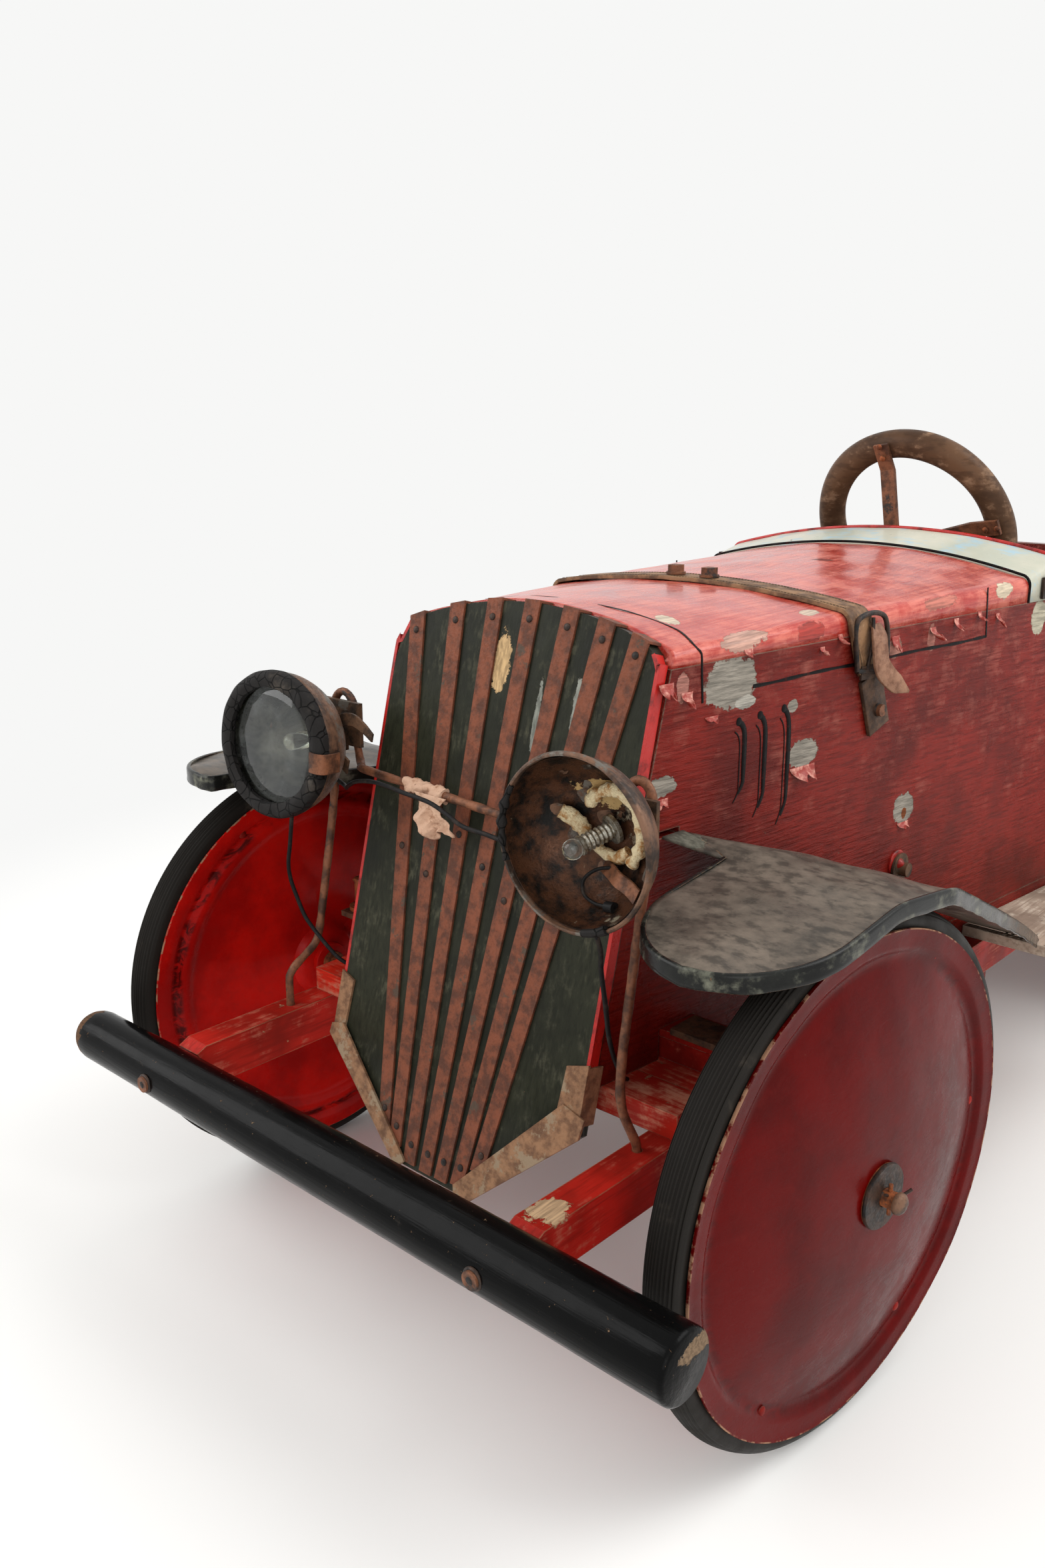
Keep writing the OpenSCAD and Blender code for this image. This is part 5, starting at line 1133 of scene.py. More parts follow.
SPINDLES = {("front", "right"): Spindle((223.783, -0.101, AXLE_Z), (0.99731, -0.07324, 0)),
            ("front", "left"): Spindle((-223.867, -1.257, AXLE_Z), (-0.99872, 0.05059, 0)),
            ("rear", "right"): Spindle((224, 780, AXLE_Z), (1, 0, 0)),
            ("rear", "left"): Spindle((-224, 780, AXLE_Z), (-1, 0, 0))}


@dataclass
class Wheel(Assembly):
    """Pressed double disc with its channel, hub sleeve and solid ribbed tyre."""
    end: str
    hand: str
    seed: int
    rivets: tuple = ((130.3, -30), (126.8, 145), (118, -153), (121.8, -89))
    ribs: int = 9
    sleeve: tuple = ((5.2, -20), (13.6, -20), (14, -19.4), (14, -13), (9, -12), (9, 24.6), (5.2, 24.6))

    def crown(self, r: Array | float) -> Array | float:
        """Height of the outer sheet's dome, which falls with the square of the radius."""
        return 10 + 15 * (1 - ((r - 17) / 103) ** 2)

    def outer(self) -> list[tuple[float, float]]:
        """Outer sheet: hub flat, dome, groove and flange, then back inside."""
        r = np.linspace(17, 119, 34)
        rim = [(121.5, 9.4), (124, 8.8), (126.5, 8.9), (128.5, 9.8), (130.5, 11.6), (132.5, 12), (137, 12.1),
               (140.6, 12.6), (141.8, 12.9), (142, 12.2), (141.6, 10.9), (138, 10.2), (132.4, 10)]
        inside = [(129.5, 9), (126.5, 7), (123.5, 6.8), (120, 7.6)] + [(k, self.crown(k) - 2) for k in r[::-3]]
        return [(5.2, 25), (12, 25.1)] + list(zip(r, self.crown(r))) + rim + inside + [(12, 23), (5.2, 23)]

    def inner(self) -> list[tuple[float, float]]:
        """Inner sheet with the raised ring, and the channel floor that closes it to the outer sheet."""
        return [(8, -16), (22, -16.2), (25, -14), (28, -10.2), (60, -9.6), (109, -9), (113, -10), (116.5, -12.8),
                (120, -13.2), (123, -12.8), (126, -10), (129, -9.8), (132, -11.8), (137, -12.1), (141.4, -12.6),
                (142, -12), (141.4, -10.6), (134, -10.2), (133.8, 9.8), (132.2, 9.8), (132, -8.5), (126, -8),
                (120, -10.8), (112, -7.4), (28, -8.2), (24, -12), (8, -14)]

    def tyre(self) -> list[tuple[float, float]]:
        """Tyre: flat walls, a round tread, and ribs as a cosine over its width."""
        s = np.linspace(-10.6, 10.6, 86)
        drop = np.interp(np.abs(s), [0, 1, 3, 5.5, 8, 9.6, 10.6], [0, 0, 0.4, 1.1, 2.3, 3.9, 6.4])
        rib = 0.5 * (1 - np.cos(2 * math.pi * s / 17.6 * self.ribs)) * (np.abs(s) < 9)
        tread = list(zip(152.35 - drop - rib, s))
        return [(134.2, -9.7), (140, -10.1), (143.2, -10.6)] + tread + [(143.2, 10.6), (140, 10.1), (134.2, 9.7)]

    def build(self) -> None:
        """Disc, tyre, rivets and hub sleeve, all on the wheel's own body."""
        spindle = SPINDLES[self.end, self.hand]
        node, tyre = f"{self.end}_disc_{self.hand}", f"{self.end}_tyre_{self.hand}"
        disc = Form().lathe(spindle, self.outer(), 160, True, 0.22, 60, self.seed, "ring")
        disc.lathe(spindle, self.inner(), 144, True, 0.2, 60, self.seed + 1, "ring", INNER_FACE)
        disc.lathe(spindle, self.sleeve, 40, True, trait="ring", shift=INNER_FACE)
        disc.piece(f"{self.end}_wheel_disc_{self.hand}", DISC_RED, BODIES[node], [node], sharp=50)
        rubber = Form().lathe(spindle, self.tyre(), 168, True, 0.12, 90, self.seed + 2)
        rubber.piece(f"{tyre}_rubber", TYRE, BODIES[tyre], [tyre], sharp=60)
        heads = Form()
        w = unit(spindle.axis)
        for r, turn in self.rivets:
            a = math.radians(turn)
            heads.lathe(Spindle(spindle.at(r, 9.2 if r > 121 else self.crown(r), a) - 0.3 * w, w), dome(3.0, 1.5), 18)
            heads.lathe(Spindle(spindle.at(r, -10.4, a), -w), dome(3.0, 1.6), 18)
        heads.piece(f"{self.end}_rivets_{self.hand}", DEEP_RED, BODIES[node])


@dataclass
class Mudguard(Assembly):
    """Folded sheet guard: rows across it follow two edge lines, creases eased, with a rolled lip."""
    side: Side
    droop: float
    cut: tuple = ()
    middle_x: float = 194.5
    half: float = 52.5
    lip: tuple = ((-1.6, 0.5), (-0.2, 0.9), (0.9, 0.3), (1.3, -1.2), (1.25, -6.6), (1.5, -8.2), (0.7, -9.2),
                  (-0.3, -8.6), (-0.3, -2.0), (-1.6, -1.4))

    def rows(self) -> tuple[Array, Array]:
        """Inner and outer edge: round nose, crease, crest and the slope to the running board.

        Returns:
            Two arrays of points, nose first.
        """
        a = np.radians(np.linspace(2, 90, 26))
        y = np.concatenate([-50 - 62 * np.cos(a), np.linspace(-46, 0, 12)])
        reach = self.half * np.concatenate([np.sin(a), np.ones(12)])
        x_in, x_out = self.middle_x - reach, self.middle_x + reach
        if self.cut:
            x_in = np.maximum(x_in, np.interp(y, *zip(*self.cut)))
        z = 315 + self.droop * y
        lines = [np.stack([x, y, z], -1) for x in (x_in, x_out)]
        root_and_crest = ((108.6, 7, 321.5), (249.0, 56, 309))
        heels = ((float(side_x(346)) + 1.3, 346, 175.8), (192.0, 346, 175.8))
        for ends, count in ((root_and_crest, 10), (heels, 64)):
            t = np.linspace(0, 1, count)[1:, None]
            lines = [np.vstack([line, line[-1] + (end - line[-1]) * t]) for line, end in zip(lines, np.array(ends))]
        inner, outer = lines
        outer[-63:, 0] += 7 * np.sin(math.pi * np.linspace(0, 1, 63)) ** 1.2
        for line in lines:
            for _ in range(3):
                line[30:-2, 1:] = (line[29:-3, 1:] + line[30:-2, 1:] + line[31:-1, 1:]) / 3
        return inner, outer

    def build(self) -> None:
        """Sheet with its neck strip, and the lip."""
        inner, outer = self.rows()
        pts = guard_sheet(inner, outer, 30, 1.6, 0.7, 46, 7 + self.side.value, 0.4)
        neck = np.array([[[107.4, -12, 322.1], [107.9, 7, 321.7]], [[142, -1.5, 314.6], [143, 4, 315.4]]])
        a, b = np.linspace(0, 1, 8)[:, None, None], np.linspace(0, 1, 5)[None, :, None]
        strip = (neck[0, 0] * (1 - b) + neck[0, 1] * b) * (1 - a) + (neck[1, 0] * (1 - b) + neck[1, 1] * b) * a
        name = f"front_guard_{self.side.word}"
        Form().grid(mirrored(pts, self.side)).grid(mirrored(strip, self.side)).piece(
            f"{name}_sheet", GUARD_BLACK, replaces=[name], wall=1.6, sharp=60)
        rim = smooth_path(np.vstack([inner[37::-1], pts[0, 1:-1], outer[:-5]])[::2])
        out = unit(np.cross(heading(rim), [0, 0, 1.0]))
        ring = np.array(self.lip)
        height = ring[:, 1] + 0.35 * ripple(rim, 24, 5)[:, None] * (ring[:, 1] < -1)
        section = rim[:, None] + out[:, None] * ring[:, :1] + height[..., None] * [0, 0, 1]
        Form().grid(mirrored(capped(section), self.side), close_cols=True).piece(f"{name}_lip", LIP_BLACK, sharp=60)


@dataclass
class RearGuard(Assembly):
    """Rear mudguard: one sheet over three flats, bends eased, with a turned edge."""
    side: Side
    corners: tuple = ((192, 568, 175.9), (247, 715, 318), (247, 832, 318), (235, 922, 254))
    inner_x: float = 149.2

    def build(self) -> None:
        """Sheet and edge bead."""
        corners = np.array(self.corners, float)
        outer = resampled(corners, len(smooth_path(corners, 4)))
        for _ in range(5):
            outer[1:-1] = (outer[:-2] + outer[1:-1] + outer[2:]) / 3
        inner = outer * [0, 1, 1] + [self.inner_x, 0, 0]
        pts = guard_sheet(inner, outer, 16, 1.2, 0.5, 50, 17, 0.5)
        name = f"rear_guard_{self.side.word}"
        Form().grid(mirrored(pts, self.side)).piece(f"{name}_sheet", GUARD_BLACK, replaces=[name], wall=1.6, sharp=60)
        rim = mirrored(np.vstack([outer[6:], inner[-1:] + [1, 0, 0]]) + [0, 0, -3.6], self.side)
        Form().tube(rim, 1.6, 10, 2.4).piece(f"{name}_lip", LIP_BLACK, sharp=60)


@dataclass
class Bumper(Assembly):
    """Round pole: a slightly tapered lathe turned along x, worn round at one end, chipped at the other."""
    length: float = 490.0
    left_r: float = 16.8
    right_r: float = 18.2
    middle: Point = (9, -182.5, 153.5)
    tip: float = math.radians(0.9)
    screws: tuple = (-143.2, 143.2)

    def build(self) -> None:
        """Pole and its two washered screws."""
        way = np.array([math.cos(self.tip), 0, math.sin(self.tip)])
        s = np.concatenate([[0, 0, 0.6, 2, 4.5, 8, 12], np.linspace(18, self.length - 3, 70),
                            self.length - np.array([1.4, 0.5, 0, 0])])
        r = np.interp(s, [0, 12, 245, 490], [self.left_r, self.left_r, self.right_r, self.right_r])
        r[:7] = [0, 8.6, 11.8, 13.6, 15, 16.2, 16.8]
        r[-4:] = [18.0, 17.2, 16.4, 0]
        r, s, turn = r[:, None], s[:, None], full_turn(72)[None]
        pole = Spindle(np.array(self.middle) - way * self.length / 2, way)
        worn = r + (0.14 * ripple(pole.at(r, s, turn), 60, 9) - 0.2) * (r > 8)
        Form().grid(pole.at(worn, s, turn), close_cols=True).piece(
            "bumper_pole", POLE_BLACK, replaces=["bumper"], sharp=50)
        screw = Form()
        middle_x, middle_y, middle_z = self.middle
        for x in self.screws:
            front = middle_y - float(np.interp(x + 236, [12, 245], [self.left_r, self.right_r])) + 0.2
            z = middle_z + (x - middle_x) * math.tan(self.tip)
            screw.lathe(Spindle((x, front, z), FORWARD), [(0, 0.9), (5.4, 0.9), (6.2, 0.3), (6.2, -0.6), (0, -0.6)], 24)
            screw.lathe(Spindle((x, front - 0.9, z), FORWARD), dome(3.4, 1.9), 20)
        screw.piece("bumper_screws", WASHER_BLACK)


@dataclass
class Lamp(Assembly):
    """Bicycle lamp: a domed shell round its own axis, with its bulb and what is left inside."""
    side: Side
    mouth: Point
    turn: float
    up: float
    radius: float = 46.0
    depth: float = 40.0

    @property
    def spindle(self) -> Spindle:
        """Axis from the mouth's middle to the shell's apex."""
        t, b = math.radians(self.turn), math.radians(self.up)
        return Spindle(self.mouth, (-math.sin(t) * math.cos(b), math.cos(t) * math.cos(b), -math.sin(b)))

    def inside(self, x: float, z: float, lift: float) -> Array:
        """Point on the bowl's inner skin at x, z from its axis, lifted off it along the axis."""
        r = math.hypot(x, z)
        s = 38.0 * math.sqrt(max(0.0, 1 - (r / 44.2) ** 2))
        return self.spindle.at(r, s - lift, math.atan2(x, z))

    def trail(self, points: Iterable[Point]) -> Array:
        """Smooth path in the bowl through points of x, z and how far each is lifted off the skin."""
        return smooth_path([self.inside(*p) for p in points], 1.5)

    def shell(self) -> None:
        """Outer dome and inner skin, each a closed quarter ellipse."""
        right = self.side is Side.RIGHT
        a = np.radians(np.linspace(2, 90, 22))
        outer = [(self.radius * math.cos(k), self.depth * math.sin(k)) for k in a]
        back = [(r - 0.6 if r > 1 else 0, s - 0.6) for r, s in outer[::-1]]
        bead = ([(45.4, 0.5), (45.6, -0.4), (46.6, -0.5), (47.6, 0.4), (47.9, 1.8), (47.4, 3.2), (46.1, 3.6)] if right
                else [(45.2, 0.4), (46, 0.2), (46.6, 1.0), (46.6, 2.6), (46, 3.2)])
        node = f"lamp_shell_{self.side.word}"
        Form().lathe(self.spindle, bead + outer[1:] + back[:-1], 96, True, 0.25, 24, 5).piece(
            f"{node}_outer", LAMP_BROWN, replaces=[node])
        skin = [(44.6 * math.cos(k), 38.6 * math.sin(k) + 0.4) for k in a]
        rear = [(r + 0.35 if r > 1 else 0, s + 0.5) for r, s in skin[::-1]]
        Form().lathe(self.spindle, skin + rear, 96, True, 0.3, 16, 6).piece(
            f"lamp_bowl_{self.side.word}", BOWL_INSIDE if right else BOWL_SILVER)

    def bulb(self, tilt: Point, stands_for: Sequence[str] = ()) -> None:
        """Threaded socket and globe on an axis that tilts from the lamp's own.

        Args:
            tilt: added to the direction in which the lamp looks.
            stands_for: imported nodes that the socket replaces.
        """
        w = unit(self.spindle.axis)
        way = unit(np.array(tilt) - w)
        root = np.array(self.mouth) + w * 38.0
        foot, middle = (Spindle(root + way * k, way, (1, 0, 0.1)) for k in (0, 26.5))
        thread = [(4.6 + 0.45 * math.cos(2 * math.pi * s / 2.6), s) for s in np.linspace(0, 20, 60)]
        base = Form().lathe(foot, [(0, -1)] + thread + [(5.4, 21), (5.4, 22.4), (0, 22.4)], 32)
        base.lathe(foot, [(0, 0), (8.2, 0.4), (8.2, 2.6), (6.6, 3.2), (0, 3.4)], 32)
        base.piece(f"bulb_socket_{self.side.word}", TIN, replaces=stands_for)
        globe = [(5.6 * math.cos(k), 5.6 * math.sin(k)) for k in np.radians(np.linspace(-58, 90, 18))]
        Form().lathe(middle, [(0, globe[0][1])] + globe, 32).piece(f"bulb_globe_{self.side.word}", GLOBE)

    def build(self) -> None:
        """Shell, bulb and the parts that belong to this lamp's state."""
        self.shell()
        if self.side is Side.LEFT:
            self.bulb((0.05, 0, 0.02), ["lamp_bulbs"])
            self.cover()
        else:
            self.bulb((-0.42, 0, -0.34))
            self.relics()

    def cover(self) -> None:
        """Rubber ring, glass and the clip folded over the rim of the closed lamp."""
        ring = [(37.0, -7), (39.5, -8.3), (42, -8.6), (44.6, -8.1), (46.4, -6.6), (47.1, -4.6), (47.2, -0.3),
                (38.9, -0.3), (38.9, -3.8), (37, -3.8)]
        Form().lathe(self.spindle, ring, 120, True, 0.45, 14, 8).piece(
            "lamp_rubber_ring", RING_RUBBER, replaces=["lamp_ring_left"])
        glass = [(0, -3.4), (20, -3.3), (37.6, -2.4), (38.4, -1.8), (37.6, -1.2), (20, -1.9), (0, -2.0)]
        Form().lathe(self.spindle, glass, 72).piece("lamp_lens", GLASS, replaces=["lamp_glass_left"])
        around = ((40, -9.2), (45, -9), (48.4, -6), (48.8, 0), (48.2, 7))
        fold = smooth_path([self.spindle.at(r, s, math.radians(96)) for r, s in around], 1.0)
        side = self.spindle.at(0, 0, 0) - self.spindle.at(1, 0, 0)
        out = unit(np.cross(heading(fold), side))
        out *= np.sign((out * (fold - np.array(self.mouth))).sum(-1, keepdims=True))
        Form().band(fold, side, out, 12.5, 1.1).piece("lamp_rim_clip", ROD_IRON)

    def relics(self) -> None:
        """Putty arc and lumps, brown clip, wire loop and rubber left in the open bowl."""
        putty = Form()
        for lift, radius, wander, size, seed, sides, squash, points in (
                (3.0, 3.4, 0.8, 7, 3, 14, 0.8,
                 ((-13.8, 11.3), (-6, 19), (4, 23.5), (12, 22), (19, 15), (22, 5), (21, -6), (16, -15))),
                (3.5, 4.2, 0.9, 6, 4, 14, 0.7, ((-27, 7), (-21, 3), (-14, -4))),
                (2.5, 3.0, 0.8, 6, 9, 12, 0.8, ((-12, -8), (-4, -13), (6, -14), (12, -9)))):
            path = self.trail((x, z, lift) for x, z in points)
            putty.tube(path, radius + wander * ripple(path, size, seed), sides, squash)
        putty.piece("lamp_putty", PUTTY, sharp=70)
        bend = self.trail(((-2, -19, 2), (6, -20, 6), (14, -21, 9), (22, -23, 6), (30, -25, 1.5)))
        Form().band(bend, unit([0.2, 0.5, 1.0]), -unit(self.spindle.axis), 7.5, 1.4).piece("lamp_clip", ROD_IRON)
        loop = self.trail(((8, -18, 4), (-2, -20, 8), (-8, -26, 8), (-6, -33, 5), (1, -36, 3), (8, -36, 2),
                           (15, -35, 1.5)))
        Form().tube(loop, 1.0, 8).tube(loop[-5:], 3.0, 12).piece("lamp_inner_wire", WIRE)
        rest = Form()
        for start, end in ((-112, -58), (150, 170)):
            path = self.spindle.at(45.6, 0.2, np.radians(np.linspace(start, end, 30)))
            rest.tube(path, 1.9 + 0.5 * ripple(path, 9, 2), 10)
        rest.piece("rubber_remnants", RING_RUBBER)


@dataclass
class LampFrame(Assembly):
    """Bent rod that carries both lamps, its plates and levers, the paper and the three wires."""
    DRESSED = ((DARK_IRON, "lamp_brackets"),)
    left: tuple = (
        (-143, -87, 156), (-143, -87, 183), (-142.6, -85.6, 188.4), (-142.4, -81, 193), (-142.8, -67, 201),
        (-142.8, -62.5, 206), (-142.4, -60, 214), (-140.5, -53, 257), (-141, -45, 298), (-142, -40.2, 330),
        (-142, -40.2, 361), (-140.6, -40.2, 368.5), (-136.6, -40.2, 373.8), (-131.5, -40.2, 375.6),
        (-126.4, -40.2, 373.8), (-122.4, -40.2, 368.5), (-121, -40.2, 361), (-120, -40.2, 345),
        (-118.4, -40.2, 336.6), (-114, -42.6, 331.6), (-107, -46.8, 330), (-95, -49.6, 329.8), (27, -57.6, 328))
    right: tuple = (
        (27, -57.6, 328), (92, -62, 325), (102, -61, 325.6), (108, -57.6, 328), (111.6, -54, 332.6),
        (113, -52.2, 339), (113, -52.2, 352), (114.4, -52.2, 359.6), (118, -52.2, 364.2), (122, -52.2, 365.6),
        (126.4, -52.2, 363.8), (129.6, -52.2, 358.6), (130.4, -52.2, 350), (129.6, -52.2, 330),
        (128.6, -52.2, 319), (127, -54.6, 300), (126.2, -57, 280), (128, -68, 230), (129, -71.6, 214),
        (130.6, -74.6, 199), (133.6, -75.6, 187), (138.6, -73.6, 175), (140.4, -72.4, 170), (141, -72, 164),
        (141, -72, 156))
    wire_r: float = 1.4

    def build(self) -> None:
        """Rod, levers, tape and hanging paper."""
        path = np.vstack([smooth_path(self.left), smooth_path(self.right)[1:]])
        Form().tube(path, 2.7 + 0.12 * ripple(path, 12, 2), 14).piece(
            "lamp_rod", ROD_IRON, replaces=["lamp_frame_rod"], sharp=60)
        lever = Form()
        bend = smooth_path([(-122, -56, 356), (-112, -58, 362), (-101, -58, 364), (-92, -57, 360), (-85, -56, 354.5)],
                           1.5)
        lever.band(bend, np.array([0, 0.25, 0.97]), np.array([0, -1.0, 0.2]), np.linspace(11, 5, len(bend)), 1.6)
        stub = smooth_path([(-118, -57, 345), (-112, -60, 338), (-105, -60, 333)], 1.5)
        lever.band(stub, np.array([0.3, 0, 1.0]), np.array(FORWARD), 9, 1.6)
        lever.lathe(Spindle((-118, -57, 356), FORWARD), dome(4.6, 3.2), 20)
        lever.lathe(Spindle((130, -59, 352), FORWARD), dome(4.2, 3.0), 20)
        lever.piece("lamp_levers", DARK_IRON)
        self.paper()

    def paper(self) -> None:
        """Paper tape round the crossbar and a crumpled sheet that hangs from it."""
        a = full_turn(24)[None]
        x = -59 + 36 * np.linspace(0, 1, 26)[:, None]
        bar = (x + 95) / 122
        r = 4.2 + 0.7 * np.sin(x * 0.9 + 2 * a) + 0.9 * np.sin(3 * a + x * 0.3)
        tube = np.stack([x + 0 * a, -49.6 - 8.0 * bar + r * np.cos(a), 329.8 - 1.8 * bar + r * np.sin(a)], -1)
        Form().grid(capped(tube), close_cols=True).piece("bar_tape", PAPER, sharp=70)
        u, v = np.linspace(0, 1, 40)[:, None], np.linspace(0, 1, 40)[None]
        left, right = -45 + 11 * u + 4 * np.sin(u * 7), -17 + 3 * u - 4 * np.sin(u * 5)
        x = left + (right - left) * v
        z = 329 - (26 + 3 * np.sin(v * 9) - 6 * v) * u
        y = -59.5 - 3.5 * np.sin(u * 3) + 2.6 * np.sin(v * 11 + u * 5) * u + 1.6 * np.sin(u * 19 + v * 8) * u
        y += 1.0 * ripple(np.stack([x, z, 0 * x], -1), 6, 4) * u
        Form().grid(np.stack([x, y, z], -1)).piece("hanging_paper", PAPER, wall=0.4, sharp=40)

    def wires(self) -> None:
        """Three thin wires: one unbroken tube each along its own route."""
        for name, route in WIRES.items():
            path = smooth_path(route, 2.0)
            piece = Form().tube(path, self.wire_r, 10).piece(f"{name}_cord", WIRE, replaces=[name], sharp=60)
            points = in_frame(path).tolist()


WIRES = {
    "wire_lamp_to_lamp": (
        (-129.7, -54.6, 321.5), (-128.3, -51, 318.6), (-120, -51, 315.6), (-112, -57, 317.4), (-103, -62, 322),
        (-92, -65, 327), (-77, -66, 330), (-62, -66, 330), (-46, -66, 328.6), (-34, -66, 328), (-22, -66, 326.6),
        (-9, -66, 322.6), (5, -67, 318.6), (23, -67, 318), (40, -68, 317), (56, -69, 315.8), (70, -71, 316),
        (82, -73.6, 319.8), (86.9, -78.5, 322.8)),
    "wire_left": (
        (-141, -79, 303.2), (-146, -77, 288), (-151, -75, 274), (-155, -74, 260), (-156, -72, 248), (-153, -70, 236),
        (-147, -69, 224), (-140, -68, 216.6), (-132, -68, 211.6), (-124, -67, 205.6), (-117, -65, 200),
        (-111, -60, 194.6), (-108, -54, 189.4), (-107, -48, 185.4), (-107, -42, 183.5)),
    "wire_right": (
        (118, -88, 298.8), (119, -83, 288), (119, -79, 277), (117, -76, 266), (117, -74, 255), (117, -72, 245),
        (116, -69, 234), (115, -66, 223), (115, -63, 213), (114, -58, 203), (113, -53, 195), (111, -47, 188),
        (108.4, -40, 183.5))}


@dataclass
class HoodStrap(Assembly):
    """Leather strap over the hood with its stitches, buckle, free tongue, lower tabs and the square bolts."""
    DRESSED = ((ROD_IRON, "bolts_and_washers"),)
    car: CarBody
    y: float = 168.0
    width: float = 25.0
    thick: float = 2.6
    lean: float = 14.0
    fall_z: float = 424.0

    def build(self) -> None:
        """Strap in one run over the hood and down both sides, then what hangs on it."""
        top = self.car.arch(np.array([self.y]), self.car.hood, 0.35, self.fall_z)[0][1:-1]
        t = np.linspace(0, 1, 14)[1:]
        right, left = (on_side(self.y + self.lean * t, self.fall_z - 30 * t, 0.35, side) for side in Side)
        path = np.vstack([right[::-1], top, left])
        way = heading(path)
        across = unit(np.array([0, 1.0, 0]) - way * way[:, 1:2])
        rise = unit(np.cross(across, way))
        rise *= np.sign((rise * (path - [0, self.y, 330])).sum(-1, keepdims=True))
        sag = 0.25 * ripple(path, 30, 6)[:, None]
        strap = Form().band(path + rise * (sag + 0.1), across, rise, self.width + 0.7 * ripple(path, 40, 2), self.thick)
        strap.piece("strap", STRAP, replaces=["hood_strap"], sharp=50)
        stitch = Form()
        for edge in (-1, 1):
            seam = path + across * edge * (self.width / 2 - 3) + rise * (self.thick + 0.25)
            for k in range(2, len(path) - 2):
                gap = path[k + 1] - path[k]
                reach = gap * 0.15
                for at in (seam[k], seam[k] + 0.5 * gap) if np.linalg.norm(gap * 0.3) > 0.4 else ():
                    stitch.band(np.array([at - reach, at + reach]), across[k], rise[k], 0.8, 0.35)
        stitch.piece("strap_stitches", THREAD)
        ends, tabs, iron = Form(), Form(), Form()
        for side in Side:
            self.hang(side, ends, tabs, iron)
        tabs.piece("strap_tabs", STRAP_DARK, sharp=50)
        ends.piece("strap_tongue", STRAP_TONGUE, sharp=50)
        iron.piece("buckles", WASHER_BLACK, replaces=["strap_buckle"])

    def hang(self, side: Side, ends: Form, tabs: Form, iron: Form) -> None:
        """Tongue, keeper, lower tab, buckle frame and prong of one side.

        Args:
            side: which side of the car.
            ends: takes the tongue's leather.
            tabs: takes the dark leather below the buckle.
            iron: takes the metal.
        """
        def place(out: float | Array, along: float | Array, z: float | Array) -> Array:
            """Points off the side face, along it from the strap."""
            return on_side(self.y + along, z, out, side)

        normal = mirrored(SIDE_NORMAL, side)
        tongue = smooth_path([place(*p) for p in (
            (3.2, 14.5, 421), (6.5, 14.5, 414.5), (8.4, 14.5, 404), (9.2, 17, 394), (11.5, 27, 384),
            (15, 40, 376))], 2.0)
        way = heading(tongue)
        across = np.cross(normal, way)
        broad = np.interp(np.linspace(0, 1, len(tongue)), [0, 0.15, 0.55, 0.8, 1], [9, 16, 15, 13, 2])
        ends.band(tongue, unit(across), unit(np.cross(way, across)), broad, 1.7)
        k = np.linspace(0, 1, 12)
        tab = place(0.4, self.lean + 2 + 14 * k, 388 - 37 * k)
        tabs.band(tab, unit(np.cross(normal, heading(tab))), normal, 22.5, 2.5)
        keeper = place(3.1, self.lean + 1 + np.linspace(-13, 13, 12), 391)
        tabs.band(keeper, np.array([0, 0, 1.0]), normal, 9, 1.6)
        corners = ((-17, 393), (13, 393), (10, 425), (-20, 425), (-17, 393))
        iron.tube(smooth_path([place(4.4, self.lean + a, z) for a, z in corners], 1.5), 1.7, 10)
        iron.tube(place(4.4 + 1.4 * np.sin(3.1 * k), self.lean - 6 + 3 * k, 393 + 33 * k), 1.25, 8)
        iron.lathe(Spindle(place(2.6, self.lean + 12, 364), normal), dome(4.6, 3.6), 20)


@dataclass
class SteeringWheel(Assembly):
    """Turned wooden rim on flat iron spokes with their bolts, all on the column."""
    DRESSED = ((ROD_IRON, "steering_spokes"), (DARK_IRON, "steering_column"))
    hub: Spindle = Spindle((0, 450, 443), (0, 0.91706, 0.39875), (1, 0, 0))
    spokes: tuple = (81, 171, 261, 351)

    def build(self) -> None:
        """Rim as a lathe ring with a slightly flattened section, a joint step and bolts in the spoke ends."""
        turn, a = full_turn(144)[None], full_turn(36)[:, None]
        swell = 1 + 0.018 * np.sin(turn * 5 + 1) + 0.03 * (np.abs(np.degrees(turn) - 17) < 5)
        pts = self.hub.at(77 + 11.6 * np.cos(a) * swell, 34 + 11.5 * np.sin(a) * swell, turn)
        Form().grid(pts, True, True).piece("steering_rim_wood", RIM_WOOD, "column", ["steering_rim"], sharp=60)
        bolts = Form()
        down = -unit(self.hub.axis)
        for spoke in self.spokes:
            for r in (72, 82):
                bolts.lathe(Spindle(self.hub.at(r, 17.6, math.radians(spoke)), down), dome(2.6, 1.6, 5), 16)
        nut = Spindle(np.array(self.hub.origin) + down * 0.2, down, (1, 0, 0))
        bolts.lathe(nut, [(0, 3.6), (4.6, 3.4), (5.4, 2.4), (5.8, 0), (0, 0)], 24)
        bolts.piece("spoke_bolts", SHAFT_RUST, "column")


